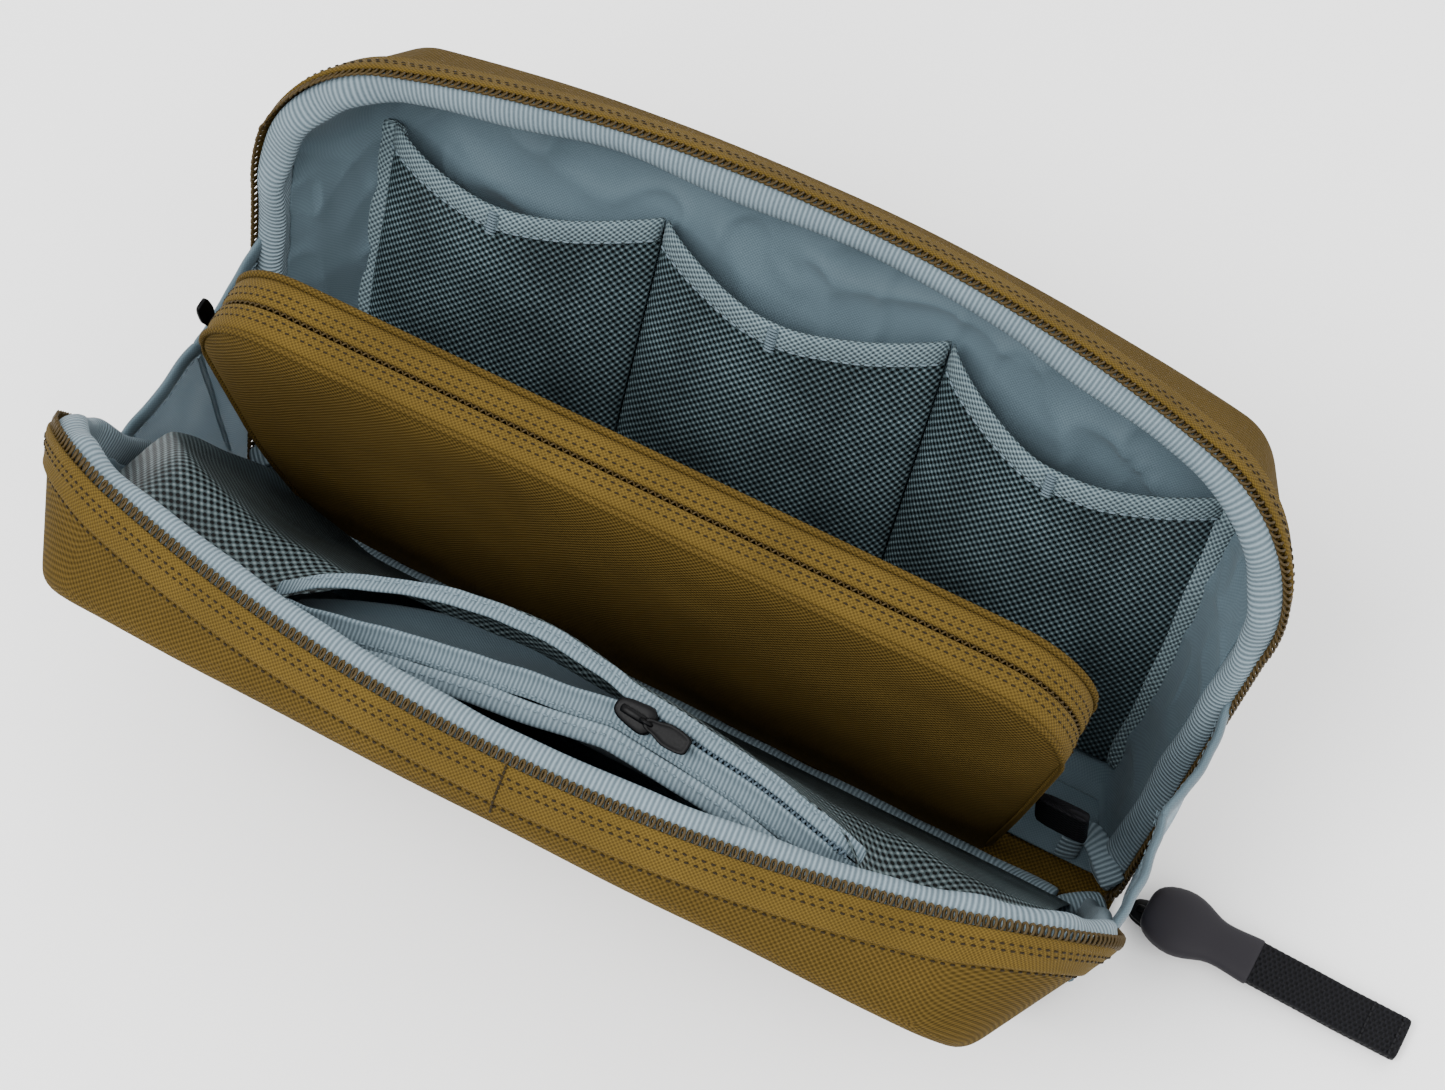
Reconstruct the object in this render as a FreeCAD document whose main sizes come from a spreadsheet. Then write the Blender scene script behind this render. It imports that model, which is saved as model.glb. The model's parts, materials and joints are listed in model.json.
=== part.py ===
"""Cable organizer pouch, standing open on its base, as a parametric FreeCAD document.

Two tapered half shells of canvas, foam and lining are hinged along a narrow spine, with a coil
zipper round their rims, a gusset at each end, a zipped divider between them, three mesh pockets
in the rear half and a slip pocket with a zipped mesh pocket in the front half.
X runs along the pouch, +Y towards the rear half and +Z up. The origin is the middle of the
spine's underside. Each half is drawn shut, rim in the plane Y = 0, and then leans outwards.
"""
import math
import os

import FreeCAD
import Part
import Sketcher
from FreeCAD import Placement, Rotation, Vector

doc = FreeCAD.newDocument("cable_pouch")
sheet = doc.addObject("Spreadsheet::Sheet", "Dims")

DIMS = [
    ("lean", 25.0),  # how far each half leans outwards, in degrees
    ("hinge_y", 11.0),  # from the middle to each half's fold line
    ("rim_foot", 113.0),  # half width of the rim at the spine
    ("rim_half", 121.0),  # half width of the rim at its widest
    ("rim_side", 76.0),  # height where the rim's corner starts
    ("rim_crown_x", 95.0),  # half width where the crown starts
    ("rim_crown_z", 118.0),  # height there
    ("rim_top", 131.0),  # height of the crown's middle
    ("rim_corner", 34.0),  # radius of the rim's corners
    ("face_foot", 99.0),  # the same sizes for the outer face
    ("face_half", 103.0),
    ("face_side", 100.0),
    ("face_crown_x", 94.0),
    ("face_crown_z", 110.0),
    ("face_top", 119.0),
    ("face_corner", 11.0),
    ("face_depth", 31.0),  # from the rim plane to the outer face
    ("face_rise", 9.33),  # the base slopes up to the face by this when shut
    ("bow_front", 18.0),  # how far the middle of each open rim bows outwards
    ("bow_rear", 14.0),
    ("bow_foot", 15.0),  # the rim is straight below this height
    ("strip_deep", 8.0),  # width of the canvas strip beside the zipper
    ("canvas", 1.2),
    ("foam", 2.6),
    ("lining", 0.7),
    ("gap", 0.3),
    ("coil", 1.6),
    ("binding", 0.9),
    ("spine_half", 10.2),
    ("spine_long", 216.0),
    ("gusset_tall", 66.0),
    ("gusset_thick", 0.8),
    ("div_lean", 3.3),
    ("div_x", -4.0),  # the divider's middle
    ("div_y", 1.1),
    ("div_long", 197.0),
    ("div_deep", 16.0),
    ("div_foot", 5.0),  # the divider's thickness at its foot
    ("div_low", 6.0),
    ("div_top", 104.0),
    ("div_corner", 18.0),
    ("div_slot", 1.6),
    ("band_half", 6.6),
    ("mesh_low", 16.0),
    ("mesh_top", 95.0),
    ("mesh_pitch", 66.0),
    ("mesh_deep", 12.0),
    ("mesh_wall", 0.8),
    ("slip_depth", 12.5),  # the slip pocket's panel, from the rim plane
    ("slip_low", 14.0),
    ("slip_top", 104.0),
    ("slip_half", 98.0),
    ("zip_x", 5.0),  # the zipped mesh pocket's front is part of an upright round column
    ("zip_round", 171.0),
    ("zip_near", -4.5),  # depth of its nearest point from the rim plane
    ("zip_top", 107.0),
    ("tape_front", 3.4),  # widths of the pocket zipper's tapes
    ("tape_back", 7.0),
    ("slot_wide", 1.6),
    ("zip_at", 15.0),  # where the pocket's slider stands, across from zip_x
    ("pull_wide", 10.0),
    ("pull_thick", 2.6),
    ("pull_y", 3.0),
    ("pull_z", 6.6),
    ("pull_root", 117.5),
    ("pull_long", 62.0),
    ("pull_slope", 4.5),
    ("sleeve_long", 26.5),
    ("sleeve_thick", 4.4),
    ("slider_long", 8.6),  # the small sliders of the pocket and the divider
    ("slider_wide", 6.6),
    ("slider_tall", 3.4),
    ("slider_main_wide", 7.6),
    ("tab_root", 2.7),  # from a slider's middle to the root of its pull tab
    ("tab_thick", 1.0),
    ("tab_hole", 0.9),
    ("pocket_tab_long", 10.0),
    ("pocket_tab_wide", 4.6),
    ("divider_tab_long", 9.0),
    ("divider_tab_wide", 4.2),
]


class Size:
    """A length worked out from cells of the sheet: its value, and the expression that sets it."""

    def __init__(self, value, text):
        self.value = float(value)
        self.text = text

    def __add__(self, other):
        other = size(other)
        return Size(self.value + other.value, f"({self.text} + {other.text})")

    def __sub__(self, other):
        other = size(other)
        return Size(self.value - other.value, f"({self.text} - {other.text})")

    def __mul__(self, other):
        other = size(other)
        return Size(self.value * other.value, f"({self.text} * {other.text})")

    def __truediv__(self, other):
        other = size(other)
        return Size(self.value / other.value, f"({self.text} / {other.text})")

    def __neg__(self):
        return Size(-self.value, f"(0 - {self.text})")


def size(number):
    """Gives a plain number the form of a Size, and leaves a Size as it is."""
    return number if isinstance(number, Size) else Size(number, repr(float(number)))


D = {}
for row, (alias, number) in enumerate(DIMS, start=1):
    sheet.set(f"A{row}", alias)
    sheet.set(f"B{row}", str(number))
    sheet.setAlias(f"B{row}", alias)
    D[alias] = Size(number, f"Dims.{alias}")
doc.recompute()

SIDES = {"front": -1, "rear": 1}
UPRIGHT = Rotation(Vector(1, 0, 0), 90)  # a sketch's own Y axis stands up
ENDWISE = Rotation(Vector(1, 1, 1), 120)  # a sketch's X runs along Y, and its Y stands up
WORK = 400.0  # larger than the pouch, for tools that only cut
RIM_START = -2.0  # the half blocks start this far past the rim plane
DIVIDER_TAPER = 14.0  # how far each end of the divider comes in at its foot
DIVIDER_SLIDER_Z = 79.0  # where the divider's slider stands on its left end
TAB_RISE = 3.1  # how high a pull tab lies above its slider's underside
parts = []


# ---- general helpers -------------------------------------------------------------------------

def bind(thing, **sizes):
    """Ties properties of a document object to the sheet."""
    for name, value in sizes.items():
        thing.setExpression(name, size(value).text)
    return thing


def box(name, low, high):
    """A box between two corners."""
    low, high = [size(c) for c in low], [size(c) for c in high]
    made = doc.addObject("Part::Box", name)
    bind(made, Length=high[0] - low[0], Width=high[1] - low[1], Height=high[2] - low[2])
    for axis, corner in zip("xyz", low):
        made.setExpression(f"Placement.Base.{axis}", corner.text)
    return made


def combine(kind, name, shapes):
    """A boolean of the kind Cut, Common or MultiFuse."""
    made = doc.addObject(f"Part::{kind}", name)
    if kind == "MultiFuse":
        made.Shapes = shapes
    else:
        made.Base, made.Tool = shapes
    return made


def cut(name, base, *tools):
    """The base with each tool taken away in turn."""
    for number, tool in enumerate(tools):
        last = number == len(tools) - 1
        base = combine("Cut", name if last else f"{name}_cut{number}", [base, tool])
    return base


def common(name, base, *others):
    """What the base shares with each of the others."""
    for number, other in enumerate(others):
        last = number == len(others) - 1
        base = combine("Common", name if last else f"{name}_with{number}", [base, other])
    return base


def closed_sketch(name, rotation, base, corners, radii):
    """A closed sketch through locked corners: side i runs from corner i to the next, as an
    anticlockwise arc where radii[i] is a radius and as a straight line where it is None."""
    sketch = doc.addObject("Sketcher::SketchObject", name)
    sketch.Placement = Placement(Vector(0, 0, 0), rotation)
    for axis, value in zip("xyz", base):
        sketch.setExpression(f"Placement.Base.{axis}", size(value).text)
    corners = [(size(x), size(y)) for x, y in corners]
    points = [Vector(x.value, y.value, 0) for x, y in corners]
    count = len(corners)
    for i, radius in enumerate(radii):
        start, end = points[i], points[(i + 1) % count]
        if radius is None:
            sketch.addGeometry(Part.LineSegment(start, end))
            continue
        half = (end - start) * 0.5
        reach = size(radius).value
        inward = Vector(-half.y, half.x, 0).normalize()
        centre = start + half + inward * math.sqrt(reach ** 2 - half.Length ** 2)
        first = math.atan2(start.y - centre.y, start.x - centre.x)
        last = math.atan2(end.y - centre.y, end.x - centre.x)
        circle = Part.Circle(centre, Vector(0, 0, 1), reach)
        sketch.addGeometry(Part.ArcOfCircle(circle, first, last))
    for i, radius in enumerate(radii):
        sketch.addConstraint(Sketcher.Constraint("Coincident", i, 2, (i + 1) % count, 1))
        for kind, value in zip(("DistanceX", "DistanceY"), corners[i]):
            at = sketch.addConstraint(Sketcher.Constraint(kind, i, 1, value.value))
            sketch.setExpression(f"Constraints[{at}]", value.text)
        if radius is not None:
            at = sketch.addConstraint(Sketcher.Constraint("Radius", i, size(radius).value))
            sketch.setExpression(f"Constraints[{at}]", size(radius).text)
    return sketch


def extrude(name, sketch, direction, length):
    """A solid made by pushing a closed sketch along a direction."""
    made = doc.addObject("Part::Extrusion", name)
    made.Base = sketch
    made.DirMode = "Custom"
    made.Dir = Vector(*direction)
    made.Solid = True
    return bind(made, LengthFwd=length)


def plate(name, low, high):
    """A box between two corners as a pushed-up rectangle, which can then be turned and moved."""
    (x0, y0, z0), (x1, y1, z1) = [[size(c) for c in corner] for corner in (low, high)]
    outline = closed_sketch(f"{name}_outline", Rotation(), (0, 0, z0),
                            [(x0, y0), (x1, y0), (x1, y1), (x0, y1)], [None] * 4)
    return extrude(name, outline, (0, 0, 1), z1 - z0)


def loft(name, sections):
    """A ruled solid between closed sketches."""
    made = doc.addObject("Part::Loft", name)
    made.Sections = sections
    made.Solid = True
    made.Ruled = True
    return made


def lean_of(side):
    """The placement that turns a half drawn shut about its fold line to where it stands open."""
    turn = Rotation(Vector(1, 0, 0), -side * D["lean"].value)
    return Placement(Vector(), turn, Vector(0, side * D["hinge_y"].value, 0))


def divider_lean():
    """The placement that leans the divider forwards about its foot."""
    turn = Rotation(Vector(1, 0, 0), D["div_lean"].value)
    place = Vector(D["div_x"].value, D["div_y"].value, 0)
    return Placement(place, turn, Vector(0, 0, D["div_low"].value))


def keep(thing, label, placement=None):
    """Puts a finished sub-part in place and on the list to write out."""
    thing.Label = label
    if placement is not None:
        thing.Placement = placement.multiply(thing.Placement)
    parts.append(thing)
    return thing


# ---- the two halves --------------------------------------------------------------------------

def half_outline(name, side, edge, depth, inset, rise):
    """The outline of a half at a depth: edge is rim or face, drawn in by inset all round."""
    foot, wide = D[f"{edge}_foot"] - inset, D[f"{edge}_half"] - inset
    shoulder, crown_x = D[f"{edge}_side"] - inset * 0.4, D[f"{edge}_crown_x"] - inset * 0.4
    crown_z, low = D[f"{edge}_crown_z"] - inset, size(rise) + inset
    rise_of_crown = (D[f"{edge}_top"] - D[f"{edge}_crown_z"]).value
    half = crown_x.value
    crown = (half ** 2 + rise_of_crown ** 2) / (2 * rise_of_crown)
    corner = D[f"{edge}_corner"]
    corners = [(-foot, low), (foot, low), (wide, shoulder), (crown_x, crown_z),
               (-crown_x, crown_z), (-wide, shoulder)]
    radii = [None, None, corner, crown, corner, None]
    return closed_sketch(name, UPRIGHT, (0, size(depth) * side, 0), corners, radii)


def half_block(name, side, inset):
    """A solid half pouch drawn in by inset: its rim past the rim plane, its face at its depth."""
    depth = D["face_depth"] - inset
    # The base is level out to the fold line's plane and then rises to the face.
    slope = (D["face_rise"] / (D["face_depth"] - D["hinge_y"]))
    start = size(RIM_START)
    low_rim = slope * (start - D["hinge_y"])
    rim = half_outline(f"{name}_rim", side, "rim", start, inset, low_rim)
    face = half_outline(f"{name}_face", side, "face", depth, inset, slope * (depth - D["hinge_y"]))
    return loft(name, [rim, face])


def bowed(name, side, shift):
    """The space inwards of the bowed rim, moved outwards by shift: an upright round column."""
    bow = D[f"bow_{'front' if side < 0 else 'rear'}"]
    half = D["rim_half"]
    radius = (half * half + bow * bow) / (bow * 2)
    column = doc.addObject("Part::Cylinder", f"{name}_column")
    bind(column, Radius=radius, Height=WORK)
    for axis, value in zip("xyz", (0, (bow + shift - radius) * side, D["bow_foot"])):
        column.setExpression(f"Placement.Base.{axis}", size(value).text)
    return column


def outwards(name, side, depth, low=-WORK, high=WORK):
    """Everything outwards of a depth, between two heights, as a box."""
    near, far = size(depth) * side, size(WORK) * side
    if side < 0:
        near, far = far, near
    return box(name, (-WORK, near, low), (WORK, far, high))


def near_fold(name, side, depth):
    """The low space between the rim plane and a depth, where the spine lies, as a box."""
    low_y, high_y = (-size(depth), 10.0) if side < 0 else (-10.0, size(depth))
    return box(name, (-WORK, low_y, -WORK), (WORK, high_y, D["bow_foot"]))


def rim_band(name, side, ring, near, far):
    """The part of a ring between two distances from its rim. Below bow_foot only the two ends
    are left, and there the rim isn't bowed."""
    upper = common(f"{name}_upper", ring, bowed(f"{name}_to", side, far))
    upper = cut(f"{name}_bowed", upper, bowed(f"{name}_from", side, near))
    upper = common(f"{name}_above", upper, outwards(f"{name}_high", side, -WORK, low=D["bow_foot"]))
    bow = D[f"bow_{'front' if side < 0 else 'rear'}"]
    ends = bow * (size(1) - D["rim_foot"] * D["rim_foot"] / (D["rim_half"] * D["rim_half"]))
    y0, y1 = size(near) + ends, size(far) + ends
    low_y, high_y = (-y1, -y0) if side < 0 else (y0, y1)
    clear = D["spine_long"] / 2 + 1.0
    feet = [box(f"{name}_foot_{n}", (x0, low_y, -WORK), (x1, high_y, D["bow_foot"]))
            for n, (x0, x1) in enumerate(((-WORK, -clear), (clear, WORK)))]
    lower = common(f"{name}_lower", ring, combine("MultiFuse", f"{name}_feet", feet))
    return combine("MultiFuse", name, [upper, lower])


def half_layers(word, side):
    """The canvas shell, foam and lining of a half, and the strip, coil and binding of its rim."""
    at = lean_of(side)
    skin = D["canvas"]
    foam_in = skin + D["gap"]
    lining_in = foam_in + D["foam"] + D["gap"]
    layers = {
        "outer": half_block(f"{word}_outer", side, size(0)),
        "skin": half_block(f"{word}_skin", side, skin),
        "foam_out": half_block(f"{word}_foam_out", side, foam_in),
        "foam_in": half_block(f"{word}_foam_in", side, foam_in + D["foam"]),
        "lining_out": half_block(f"{word}_lining_out", side, lining_in),
        "lining_in": half_block(f"{word}_lining_in", side, lining_in + D["lining"]),
    }
    strip = D["strip_deep"]
    past_fold = D["hinge_y"] + D["gap"]
    base_trim = near_fold(f"{word}_near_fold", side, past_fold)

    shell = cut(f"{word}_shell_wall", layers["outer"], layers["skin"])
    shell = cut(f"{word}_shell_bowed", shell, bowed(f"{word}_seam", side, strip))
    keep(cut(f"{word}_shell", shell, base_trim), f"{word}_shell", at)

    foam = cut(f"{word}_foam_wall", layers["foam_out"], layers["foam_in"])
    face_only = outwards(f"{word}_foam_trim", side, D["face_depth"] - foam_in - D["foam"])
    keep(common(f"{word}_foam", foam, face_only), f"{word}_foam_pad", at)

    lining = cut(f"{word}_lining_wall", layers["lining_out"], layers["lining_in"])
    lining = cut(f"{word}_lining_bowed", lining, bowed(f"{word}_lining_seam", side, strip + 1.0))
    lining_trim = near_fold(f"{word}_lining_trim", side, past_fold + 4.0)
    keep(cut(f"{word}_lining", lining, lining_trim), f"{word}_lining", at)

    ring = cut(f"{word}_ring", layers["outer"], layers["skin"])
    coil = D["coil"]
    keep(rim_band(f"{word}_strip", side, ring, coil, strip - D["gap"]), f"{word}_zipper_strip", at)
    keep(rim_band(f"{word}_coil", side, ring, 0.0, coil - 0.05), f"{word}_zipper_coil", at)
    inset = skin + 0.05
    tape = cut(f"{word}_tape_wall", half_block(f"{word}_tape_out", side, inset),
               half_block(f"{word}_tape_in", side, inset + D["binding"]))
    keep(rim_band(f"{word}_tape", side, tape, coil, strip - 0.4), f"{word}_rim_binding", at)


def lined_depth():
    """How deep each half is inside its lining."""
    return D["face_depth"] - D["canvas"] - D["foam"] - D["lining"] - D["gap"] * 3


def lined_room(name, side):
    """The space inside a half's lining, as a solid."""
    return half_block(name, side, D["canvas"] + D["foam"] + D["lining"] + D["gap"] * 3)


def rear_mesh_pockets():
    """Three mesh pockets on the rear lining: open-topped troughs with their backs to the lining."""
    at = lean_of(1)
    back = lined_depth()
    room = lined_room("mesh_room", 1)
    near, low, top = back - D["mesh_deep"], D["mesh_low"], D["mesh_top"]
    wall, pitch = D["mesh_wall"], D["mesh_pitch"]
    for number, word in enumerate(("left", "middle", "right")):
        left = pitch * (number - 1.5) + 0.2
        right = pitch * (number - 0.5) - 0.2
        name = f"mesh_pocket_{word}"
        block = box(f"{name}_block", (left, near, low), (right, back, top))
        inside = box(f"{name}_inside", (left + wall, near + wall, low + wall), (right - wall, WORK, WORK))
        keep(common(name, cut(f"{name}_trough", block, inside), room), name, at)
        hem = plate(f"{name}_hem", (left, near - 0.9, top - 6.0), (right, near - 0.1, top))
        keep(hem, f"mesh_hem_{word}", at)


def pocket_column(name, depth, low, high):
    """The upright round column of the zipped pocket, with its nearest point at a depth."""
    radius = D["zip_round"] - (size(depth) - D["zip_near"])
    column = doc.addObject("Part::Cylinder", name)
    bind(column, Radius=radius, Height=size(high) - low)
    for axis, value in zip("xyz", (D["zip_x"], -(D["zip_round"] + D["zip_near"]), low)):
        column.setExpression(f"Placement.Base.{axis}", size(value).text)
    return column


def pocket_ring(name, near, far, low, high):
    """The part of the zipped pocket's round column between two depths and two heights, held
    inside the front half's lining and in front of the slip pocket's panel."""
    wall = cut(f"{name}_round", pocket_column(f"{name}_out", near, low, high),
               pocket_column(f"{name}_in", far, low - 1.0, size(high) + 1.0))
    lined = lined_room(f"{name}_lined", -1)
    ahead = box(f"{name}_ahead", (-60.0, -5.0, D["slip_low"]), (70.0, 10.0, D["zip_top"]))
    room = combine("MultiFuse", f"{name}_room", [lined, ahead])
    before = box(f"{name}_before", (-WORK, -(D["slip_depth"] - 0.6), -WORK), (WORK, WORK, WORK))
    return common(name, wall, room, before)


def front_pockets():
    """The slip pocket on the front lining and, before its panel, the zipped mesh pocket."""
    at = lean_of(-1)
    back = lined_depth()
    half, low, top, depth = D["slip_half"], D["slip_low"], D["slip_top"], D["slip_depth"]
    panel = box("slip_sheet", (-half, -(depth + 0.7), low), (half, -depth, top))
    sides = [box(f"slip_side_{n}", (x, -back, low), (x + 0.7, -depth - 0.7, top))
             for n, x in enumerate((-half, half - 0.7))]
    floor = box("slip_floor", (-half, -back, low), (half, -depth - 0.7, low + 0.7))
    sheet_and_sides = combine("MultiFuse", "slip_walls", [panel, *sides, floor])
    room = lined_room("slip_room", -1)
    keep(common("slip_pocket", sheet_and_sides, room), "slip_pocket_panel", at)
    hem = plate("slip_hem", (-half, -(depth + 1.2), top + 0.1), (half, -depth, top + 2.6))
    keep(hem, "slip_pocket_binding", at)

    near, lid = D["zip_near"], D["zip_top"]
    keep(pocket_ring("zip_mesh", near, near + 0.6, low, lid), "zip_pocket_mesh", at)
    slot = near + 0.3 + D["tape_front"]
    front_tape = pocket_ring("zip_front_tape", near + 0.7, slot, lid - 0.9, lid)
    keep(front_tape, "zip_pocket_front_tape", at)
    far = slot + D["slot_wide"]
    back_tape = pocket_ring("zip_back_tape", far, far + D["tape_back"], lid - 0.9, lid)
    keep(back_tape, "zip_pocket_back_tape", at)
    ring = pocket_ring("zip_coil_ring", slot + 0.1, far - 0.1, lid - 0.9, lid)
    shut = box("zip_shut", (D["zip_x"] + D["zip_at"] + 6.0, -WORK, 0), (WORK, WORK, WORK))
    keep(common("zip_coil_shut", ring, shut), "zip_pocket_coil", at)


# ---- spine and gussets -----------------------------------------------------------------------

def spine():
    """The canvas strip between the halves' fold lines, and its inner facing."""
    half, long = D["spine_half"], D["spine_long"] / 2
    keep(box("spine_outer", (-long, -half, 0), (long, half, D["canvas"])), "spine_panel")
    low = D["canvas"] + 0.05
    keep(box("spine_inner", (-long + 2.0, -half + 2.5, low), (long - 2.0, half - 2.5, low + 0.8)),
         "spine_facing")


def gussets():
    """A triangular gusset at each end, between the two open rims, held by the spine."""
    tall, turn = D["gusset_tall"], math.radians(D["lean"].value)
    reach = tall * math.sin(turn) - 2.5
    foot = D["canvas"] + 1.0
    corners = [(0, foot), (reach, tall * math.cos(turn)), (-reach, tall * math.cos(turn))]
    for word, x in (("left", -D["rim_foot"] - 1.0), ("right", D["rim_foot"] + 0.2)):
        name = f"{word}_gusset"
        sketch = closed_sketch(f"{name}_outline", ENDWISE, (x, 0, 0), corners, [None] * 3)
        keep(extrude(name, sketch, (1, 0, 0), D["gusset_thick"]), name)


# ---- the divider -----------------------------------------------------------------------------

def divider_block(name, inset):
    """The divider as a solid, drawn in by inset: a wedge section with rounded upper corners."""
    half = D["div_long"] / 2 - inset
    low, top = D["div_low"] + inset, D["div_top"] - inset
    thin, thick = D["div_foot"] / 2 - inset, D["div_deep"] / 2 - inset
    reach = D["div_corner"] - inset
    shoulder = low + (top - low) * 0.45
    section = closed_sketch(f"{name}_section", ENDWISE, (-half, 0, 0),
                            [(-thin, low), (thin, low), (thick, shoulder), (thick, top),
                             (-thick, top), (-thick, shoulder)], [None] * 6)
    bar = extrude(f"{name}_bar", section, (1, 0, 0), half * 2)
    outline = closed_sketch(f"{name}_outline", UPRIGHT, (0, WORK / 2, 0),
                            [(-half + DIVIDER_TAPER, low), (half - DIVIDER_TAPER, low), (half, top - reach),
                             (half - reach, top), (-half + reach, top), (-half, top - reach)],
                            [None, None, reach, None, reach, None])
    return common(name, bar, extrude(f"{name}_plate", outline, (0, -1, 0), WORK))


def divider():
    """The zipped divider: two canvas panels, two zipper bands, its coil, lining and tab."""
    at = divider_lean()
    wall = D["canvas"]
    shell = cut("divider_wall", divider_block("divider_outer", size(0)), divider_block("divider_in", wall))
    edge, slot = D["band_half"], D["div_slot"] / 2
    for word, side in SIDES.items():
        keep(common(f"divider_{word}", shell, outwards(f"divider_{word}_trim", side, edge + 0.05)),
             f"divider_{word}_panel", at)
        ring = common(f"divider_{word}_ring", shell,
                      outwards(f"divider_{word}_near", side, slot))
        ring = cut(f"divider_{word}_slit", ring, outwards(f"divider_{word}_far", side, edge))
        high = box(f"divider_{word}_high", (-WORK, -WORK, D["div_low"] + 30.0), (WORK, WORK, WORK))
        keep(common(f"divider_{word}_band", ring, high), f"divider_{word}_band", at)
    coil = common("divider_coil_ring", shell,
                  box("divider_coil_slab", (-WORK, -slot + 0.1, D["div_low"] + 30.0), (WORK, slot - 0.1, WORK)))
    keep(coil, "divider_coil", at)
    hem_half = D["div_long"] / 2 - 18.0
    hem = plate("divider_hem_plate", (-hem_half, -1.5, 2.3), (hem_half, 1.5, D["div_low"] - 0.1))
    keep(hem, "divider_foot_hem", at)
    tab = plate("divider_tab_plate", (93.4, -1.2, 33.0), (105.5, 1.2, 45.0))
    keep(tab, "divider_pull_tab", at)


# ---- sliders and pullers ---------------------------------------------------------------------

def pad_on_base(body, name, corners, tall):
    """A pad in a body that stands on its base plane, with a locked outline."""
    outline = body.newObject("Sketcher::SketchObject", f"{name}_outline")
    outline.AttachmentSupport = (next(o for o in body.Origin.OriginFeatures if o.Role == "XY_Plane"), "")
    outline.MapMode = "FlatFace"
    corners = [(size(x), size(y)) for x, y in corners]
    points = [Vector(x.value, y.value, 0) for x, y in corners]
    for i, point in enumerate(points):
        outline.addGeometry(Part.LineSegment(point, points[(i + 1) % len(points)]))
    for i, corner in enumerate(corners):
        outline.addConstraint(Sketcher.Constraint("Coincident", i, 2, (i + 1) % len(points), 1))
        for kind, value in zip(("DistanceX", "DistanceY"), corner):
            at = outline.addConstraint(Sketcher.Constraint(kind, i, 1, value.value))
            outline.setExpression(f"Constraints[{at}]", value.text)
    pad = body.newObject("PartDesign::Pad", name)
    pad.Profile = outline
    return bind(pad, Length=tall)


def slider_body(name, wide):
    """A zipper slider as a body: a plate that narrows to the rear, with a bridge on top."""
    body = doc.addObject("PartDesign::Body", name)
    half, tall = D["slider_long"] / 2, D["slider_tall"]
    pad_on_base(body, f"{name}_plate", [(-half, -wide / 4), (half, -wide / 2), (half, wide / 2),
                                        (-half, wide / 4)], tall * 0.45)
    reach, beam = half * 0.6, wide * 0.14
    bridge = pad_on_base(body, f"{name}_bridge", [(-reach, -beam), (reach, -beam), (reach, beam),
                                                  (-reach, beam)], tall * 0.85)
    doc.recompute()
    body.Tip = bridge
    return body


def puller_tab(name, long, wide):
    """A pull tab with a hole near its root, lying along X from 0."""
    thick, hole = D["tab_thick"], D["tab_hole"]
    strap = plate(f"{name}_strap", (0, -wide / 2, 0), (long, wide / 2, thick))
    bore = doc.addObject("Part::Cylinder", f"{name}_bore")
    bind(bore, Radius=hole, Height=thick * 3)
    bore.setExpression("Placement.Base.x", (hole * 2).text)
    bore.setExpression("Placement.Base.z", (-thick).text)
    return combine("Cut", name, [strap, bore])


def at_point(x, y, z, rotation=None):
    """A placement at a point, with a turn."""
    return Placement(Vector(x, y, z), rotation or Rotation())


def pocket_zip_radius():
    """The radius of the pocket zipper's own line about the upright round column's axis."""
    return (D["zip_round"] - 0.3 - D["tape_front"] - D["slot_wide"] / 2).value


def sliders():
    """The sliders and pullers of the zipped pocket and of the divider."""
    # The pocket's slider rides on its tapes, turned along the zipper's curve.
    across, reach = D["zip_at"].value, pocket_zip_radius()
    turn = Rotation(Vector(0, 0, 1), -math.degrees(math.asin(across / reach)))
    y = -(D["zip_round"] + D["zip_near"]).value + math.sqrt(reach ** 2 - across ** 2)
    spot = lean_of(-1).multiply(at_point(D["zip_x"].value + across, y, D["zip_top"].value + 0.1, turn))
    keep(slider_body("pocket_slider", D["slider_wide"]), "zip_pocket_slider", spot)
    tab = puller_tab("pocket_tab", D["pocket_tab_long"], D["pocket_tab_wide"])
    keep(tab, "zip_pocket_puller", spot.multiply(at_point(D["tab_root"].value, 0, TAB_RISE)))

    # The divider's slider stands on its left end, which slopes in towards the foot.
    half, low = D["div_long"].value / 2, D["div_low"].value
    rise = (D["div_top"] - D["div_corner"]).value - low
    slope = math.atan2(DIVIDER_TAPER, rise)
    height = DIVIDER_SLIDER_Z
    x = -half + DIVIDER_TAPER * (1 - (height - low) / rise)
    # the slider's own Z axis points out of the end, and its X axis up along it
    upward = Rotation(Vector(0, 1, 0), -90 - math.degrees(slope))
    spot = divider_lean().multiply(at_point(x - 0.2, 0, height, upward))
    keep(slider_body("divider_slider_body", D["slider_wide"]), "divider_slider", spot)
    tab = puller_tab("divider_tab_metal", D["divider_tab_long"], D["divider_tab_wide"])
    keep(tab, "divider_puller", spot.multiply(at_point(D["tab_root"].value, 0, TAB_RISE)))


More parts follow.
